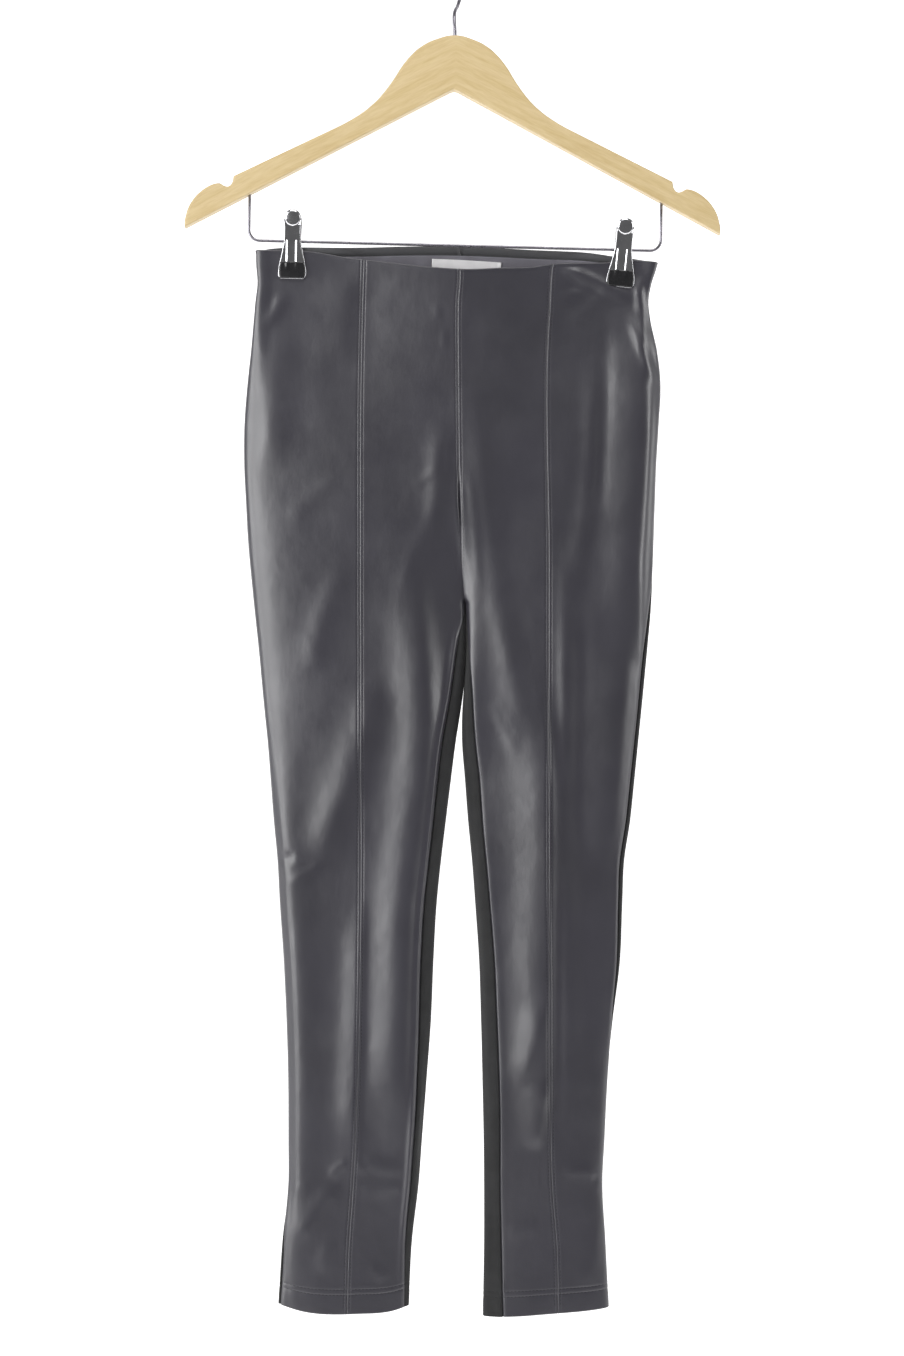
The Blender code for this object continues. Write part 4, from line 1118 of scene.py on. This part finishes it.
def plate_rows():
    """Heights and half widths down a jaw, close together round its two ends."""
    s_known, _, stand = (np.array(column) for column in zip(*sorted(JAW)))
    top = DISC_S + DISC_EDGE * np.sin(np.linspace(0, 1, 12) * math.pi / 2)[::-1]
    s = np.concatenate([top, np.linspace(17.4, CORNER_S, 62), np.linspace(-29.2, JAW_END, 8)])
    half = np.where(s > DISC_S, np.sqrt(np.maximum(DISC_EDGE ** 2 - (s - DISC_S) ** 2, 0.3)),
                    smooth_curve(JAW, 1)(s))
    round_off = 1 - np.sqrt(np.maximum(1 - ((CORNER_S - s) / CORNER_HEIGHT) ** 2, 0))
    half = np.where(s < CORNER_S, 11.2 - round_off * 3.0, half)
    return s, half, np.interp(s, s_known, stand)


def build_jaw(name, where, sign, finish):
    """A pressed plate: a raised rim, two flutes up its face and a domed round thumb end."""
    s, half, stand = plate_rows()
    across = np.sin(np.linspace(-1, 1, 43) * math.pi / 2) * 0.35 + np.linspace(-1, 1, 43) * 0.65
    x = half[:, None] * across[None, :]
    down = np.broadcast_to(s[:, None], x.shape)
    from_disc = np.hypot(x, down - DISC_S)
    edge = np.minimum(half[:, None] - np.abs(x), down - JAW_END)
    edge = np.where(down > DISC_S, DISC_EDGE - from_disc, edge)
    rim = 0.15 * bump(edge - 0.5, 0.4) * smoothstep((down + 16.0) / 2.0)
    flute_run = smoothstep((1.5 - down) / 2.0) * smoothstep((down + 27.0) / 6.0)
    flutes = sum(0.55 * bump(x - centre, 0.95) for centre in FLUTES) * flute_run
    dome = 0.8 * np.clip(1 - (from_disc / DISC_RADIUS) ** 2, 0, 1)
    dome = dome - 0.5 * bump(from_disc - DISC_RADIUS, 0.5)
    face = stand[:, None] + JAW_WALL + rim + flutes + dome - 0.2 * bump(edge, 0.35)
    inner = np.broadcast_to(stand[:, None], x.shape) + 0.35 * bump(edge, 0.35)
    place = clip_place(name)
    outer = place(np.stack([x, sign * face, down], -1))
    lower = place(np.stack([x, sign * inner, down], -1))
    node = f"{name}_clip_{where}_jaw"
    mesh = grid_mesh(node + "_steel", outer, lower, x, s)
    add_object(node + "_steel", mesh, finish, [node])


def build_pad(name, where, sign, finish):
    """The glossy black tip over a jaw, with rounded edges and the flutes showing through."""
    s_known, width = (np.array(column) for column in zip(*sorted(PAD)))
    s = np.concatenate([[PAD_START, -17.5, -17.8, -18.3], np.linspace(-19.2, -28.4, 18),
                        np.linspace(-29.0, PAD_END, 8)])
    half = np.interp(s, s_known, width)
    across = np.sin(np.linspace(-1, 1, 33) * math.pi / 2) * 0.4 + np.linspace(-1, 1, 33) * 0.6
    x = half[:, None] * across[None, :]
    down = np.broadcast_to(s[:, None], x.shape)
    edge = np.minimum(half[:, None] - np.abs(x), np.minimum(PAD_START - down, down - PAD_END))
    flutes = sum(0.5 * bump(x - centre, 1.5) for centre in (-4.0, 4.0))
    flutes = flutes * smoothstep((down + 26.0) / 7.0)
    crown = 0.5 * (1 - (across[None, :]) ** 2)
    face = JAW_LIE + JAW_WALL + 0.55 + crown + flutes + 0.75 * np.sqrt(np.clip(edge / 0.8, 0, 1))
    inner = np.full_like(face, JAW_LIE + JAW_WALL + 0.1)
    place = clip_place(name)
    node = f"{name}_clip_{where}_pad"
    mesh = grid_mesh(node + "_tip", place(np.stack([x, sign * face, down], -1)),
                     place(np.stack([x, sign * inner, down], -1)), x, s)
    add_object(node + "_tip", mesh, finish, [node])


def build_spring(name, finish):
    """The coiled spring round the bar between the two jaws."""
    pivot_x, _, _ = CLIPS[name]
    turns, radius, wire = 7, 2.4, 0.55
    path = []
    for i in range(turns * 20 + 1):
        angle = 2 * math.pi * i / 20
        along = -5.2 + 10.4 * i / (turns * 20)
        path.append((pivot_x + along * math.cos(BAR_SLOPE), radius * math.sin(angle),
                     bar_height(pivot_x) + along * math.sin(BAR_SLOPE)
                     + radius * math.cos(angle)))
    round_wire(f"{name}_clip_spring_coil", path, wire, finish, [f"{name}_clip_spring"])


# ------------------------------------------------------------------ light and camera
LIGHTS = (
    # name, place, aim, width and height in metres, power in watts
    ("key", (-2.3, -3.05, -0.1), (0.0, 0.0, -0.5), (1.1, 3.3), 76),
    ("side", (-3.0, -1.6, -0.1), (0.0, 0.0, -0.4), (1.2, 2.8), 62),
    ("fill", (2.4, -0.9, 0.0), (0.0, 0.0, -0.5), (0.8, 2.0), 26),
    ("top", (0.0, -1.2, 1.5), (0.0, 0.0, -0.3), (1.4, 0.9), 20),
)


def build_stage():
    plain = bpy.data.materials.new("backdrop")
    plain.use_nodes = True
    shader = plain.node_tree.nodes["Principled BSDF"]
    shader.inputs["Base Color"].default_value = (0.93, 0.93, 0.93, 1.0)
    shader.inputs["Roughness"].default_value = 0.9
    shader.inputs["Emission Color"].default_value = (1.0, 1.0, 1.0, 1.0)
    shader.inputs["Emission Strength"].default_value = 0.75
    # A floor that curves up into the wall behind, in metres.
    floor, start, bend, wall, top, half_width = -2.0, -1.5, 1.5, 9.5, 14.0, 18.0
    curve = [(wall - bend + bend * math.sin(a), floor + bend * (1 - math.cos(a)))
             for a in np.linspace(0, math.pi / 2, 14)]
    profile = [(start, floor)] + curve + [(wall, top)]
    points = [(x, y, z) for y, z in profile for x in (-half_width, half_width)]
    faces = [(2 * i, 2 * i + 1, 2 * i + 3, 2 * i + 2) for i in range(len(profile) - 1)]
    mesh = bpy.data.meshes.new("backdrop")
    mesh.from_pydata(points, [], faces)
    mesh.materials.append(plain)
    mesh.shade_smooth()
    backdrop = bpy.data.objects.new("backdrop", mesh)
    bpy.context.scene.collection.objects.link(backdrop)


def build_room():
    """The light of the room: dark in front of the garment and light behind it."""
    world = bpy.data.worlds.new("studio")
    world.use_nodes = True
    tree = world.node_tree
    where = tree.nodes.new("ShaderNodeTexCoord")
    split = tree.nodes.new("ShaderNodeSeparateXYZ")
    depth = tree.nodes.new("ShaderNodeMath")
    depth.operation = "MULTIPLY_ADD"
    depth.inputs[1].default_value = depth.inputs[2].default_value = 0.5
    ramp = tree.nodes.new("ShaderNodeValToRGB")
    while len(ramp.color_ramp.elements) < 4:
        ramp.color_ramp.elements.new(0.5)
    for stop, (at, tone) in zip(ramp.color_ramp.elements,
                                ((0.0, 0.14), (0.25, 0.16), (0.55, 0.45), (0.85, 0.9))):
        stop.position = at
        stop.color = (tone, tone, tone, 1.0)
    tree.links.new(where.outputs["Generated"], split.inputs[0])
    tree.links.new(split.outputs["Y"], depth.inputs[0])
    tree.links.new(depth.outputs[0], ramp.inputs["Fac"])
    tree.links.new(ramp.outputs["Color"], tree.nodes["Background"].inputs["Color"])
    bpy.context.scene.world = world


def build_lights():
    for name, place, aim, size, power in LIGHTS:
        data = bpy.data.lights.new(name, "AREA")
        data.shape = "RECTANGLE"
        data.size, data.size_y = size
        data.energy = power
        lamp = bpy.data.objects.new(name, data)
        bpy.context.scene.collection.objects.link(lamp)
        lamp.location = place
        x, y, z = np.array(aim) - np.array(place)
        lamp.rotation_euler = (math.atan2(math.hypot(x, y), -z), 0.0, math.atan2(x, -y) + math.pi)


def build_camera():
    data = bpy.data.cameras.new("camera")
    camera = bpy.data.objects.new("camera", data)
    bpy.context.scene.collection.objects.link(camera)
    distance, frame_height = 2.2, 1.12794
    camera.location = (-0.0033, -distance, -0.598)
    camera.rotation_euler = (math.pi / 2, 0.0, 0.0)
    data.sensor_width = 36.0
    data.lens = 36.0 * distance / frame_height
    data.clip_start, data.clip_end = 0.05, 30.0
    bpy.context.scene.camera = camera


build_camera()
build_stage()
build_room()
build_lights()
chrome = steel_finish("steel", (0.62, 0.62, 0.64), 0.10, 0.20)
wire_steel = steel_finish("wire", (0.25, 0.24, 0.27), 0.20, 0.34)
black = pad_finish()
build_wood()
round_wire("hook_wire", hook_path(), HOOK_WIRE, wire_steel, ["hook"])
round_wire("bar_wire", bar_path(), BAR_WIRE, wire_steel, ["trouser_bar"])
for clip in CLIPS:
    for side_name, direction in (("front", -1.0), ("back", 1.0)):
        build_jaw(clip, side_name, direction, chrome)
        build_pad(clip, side_name, direction, black)
    build_spring(clip, chrome)
build_cloth()

bpy.context.scene.view_settings.view_transform = "Standard"
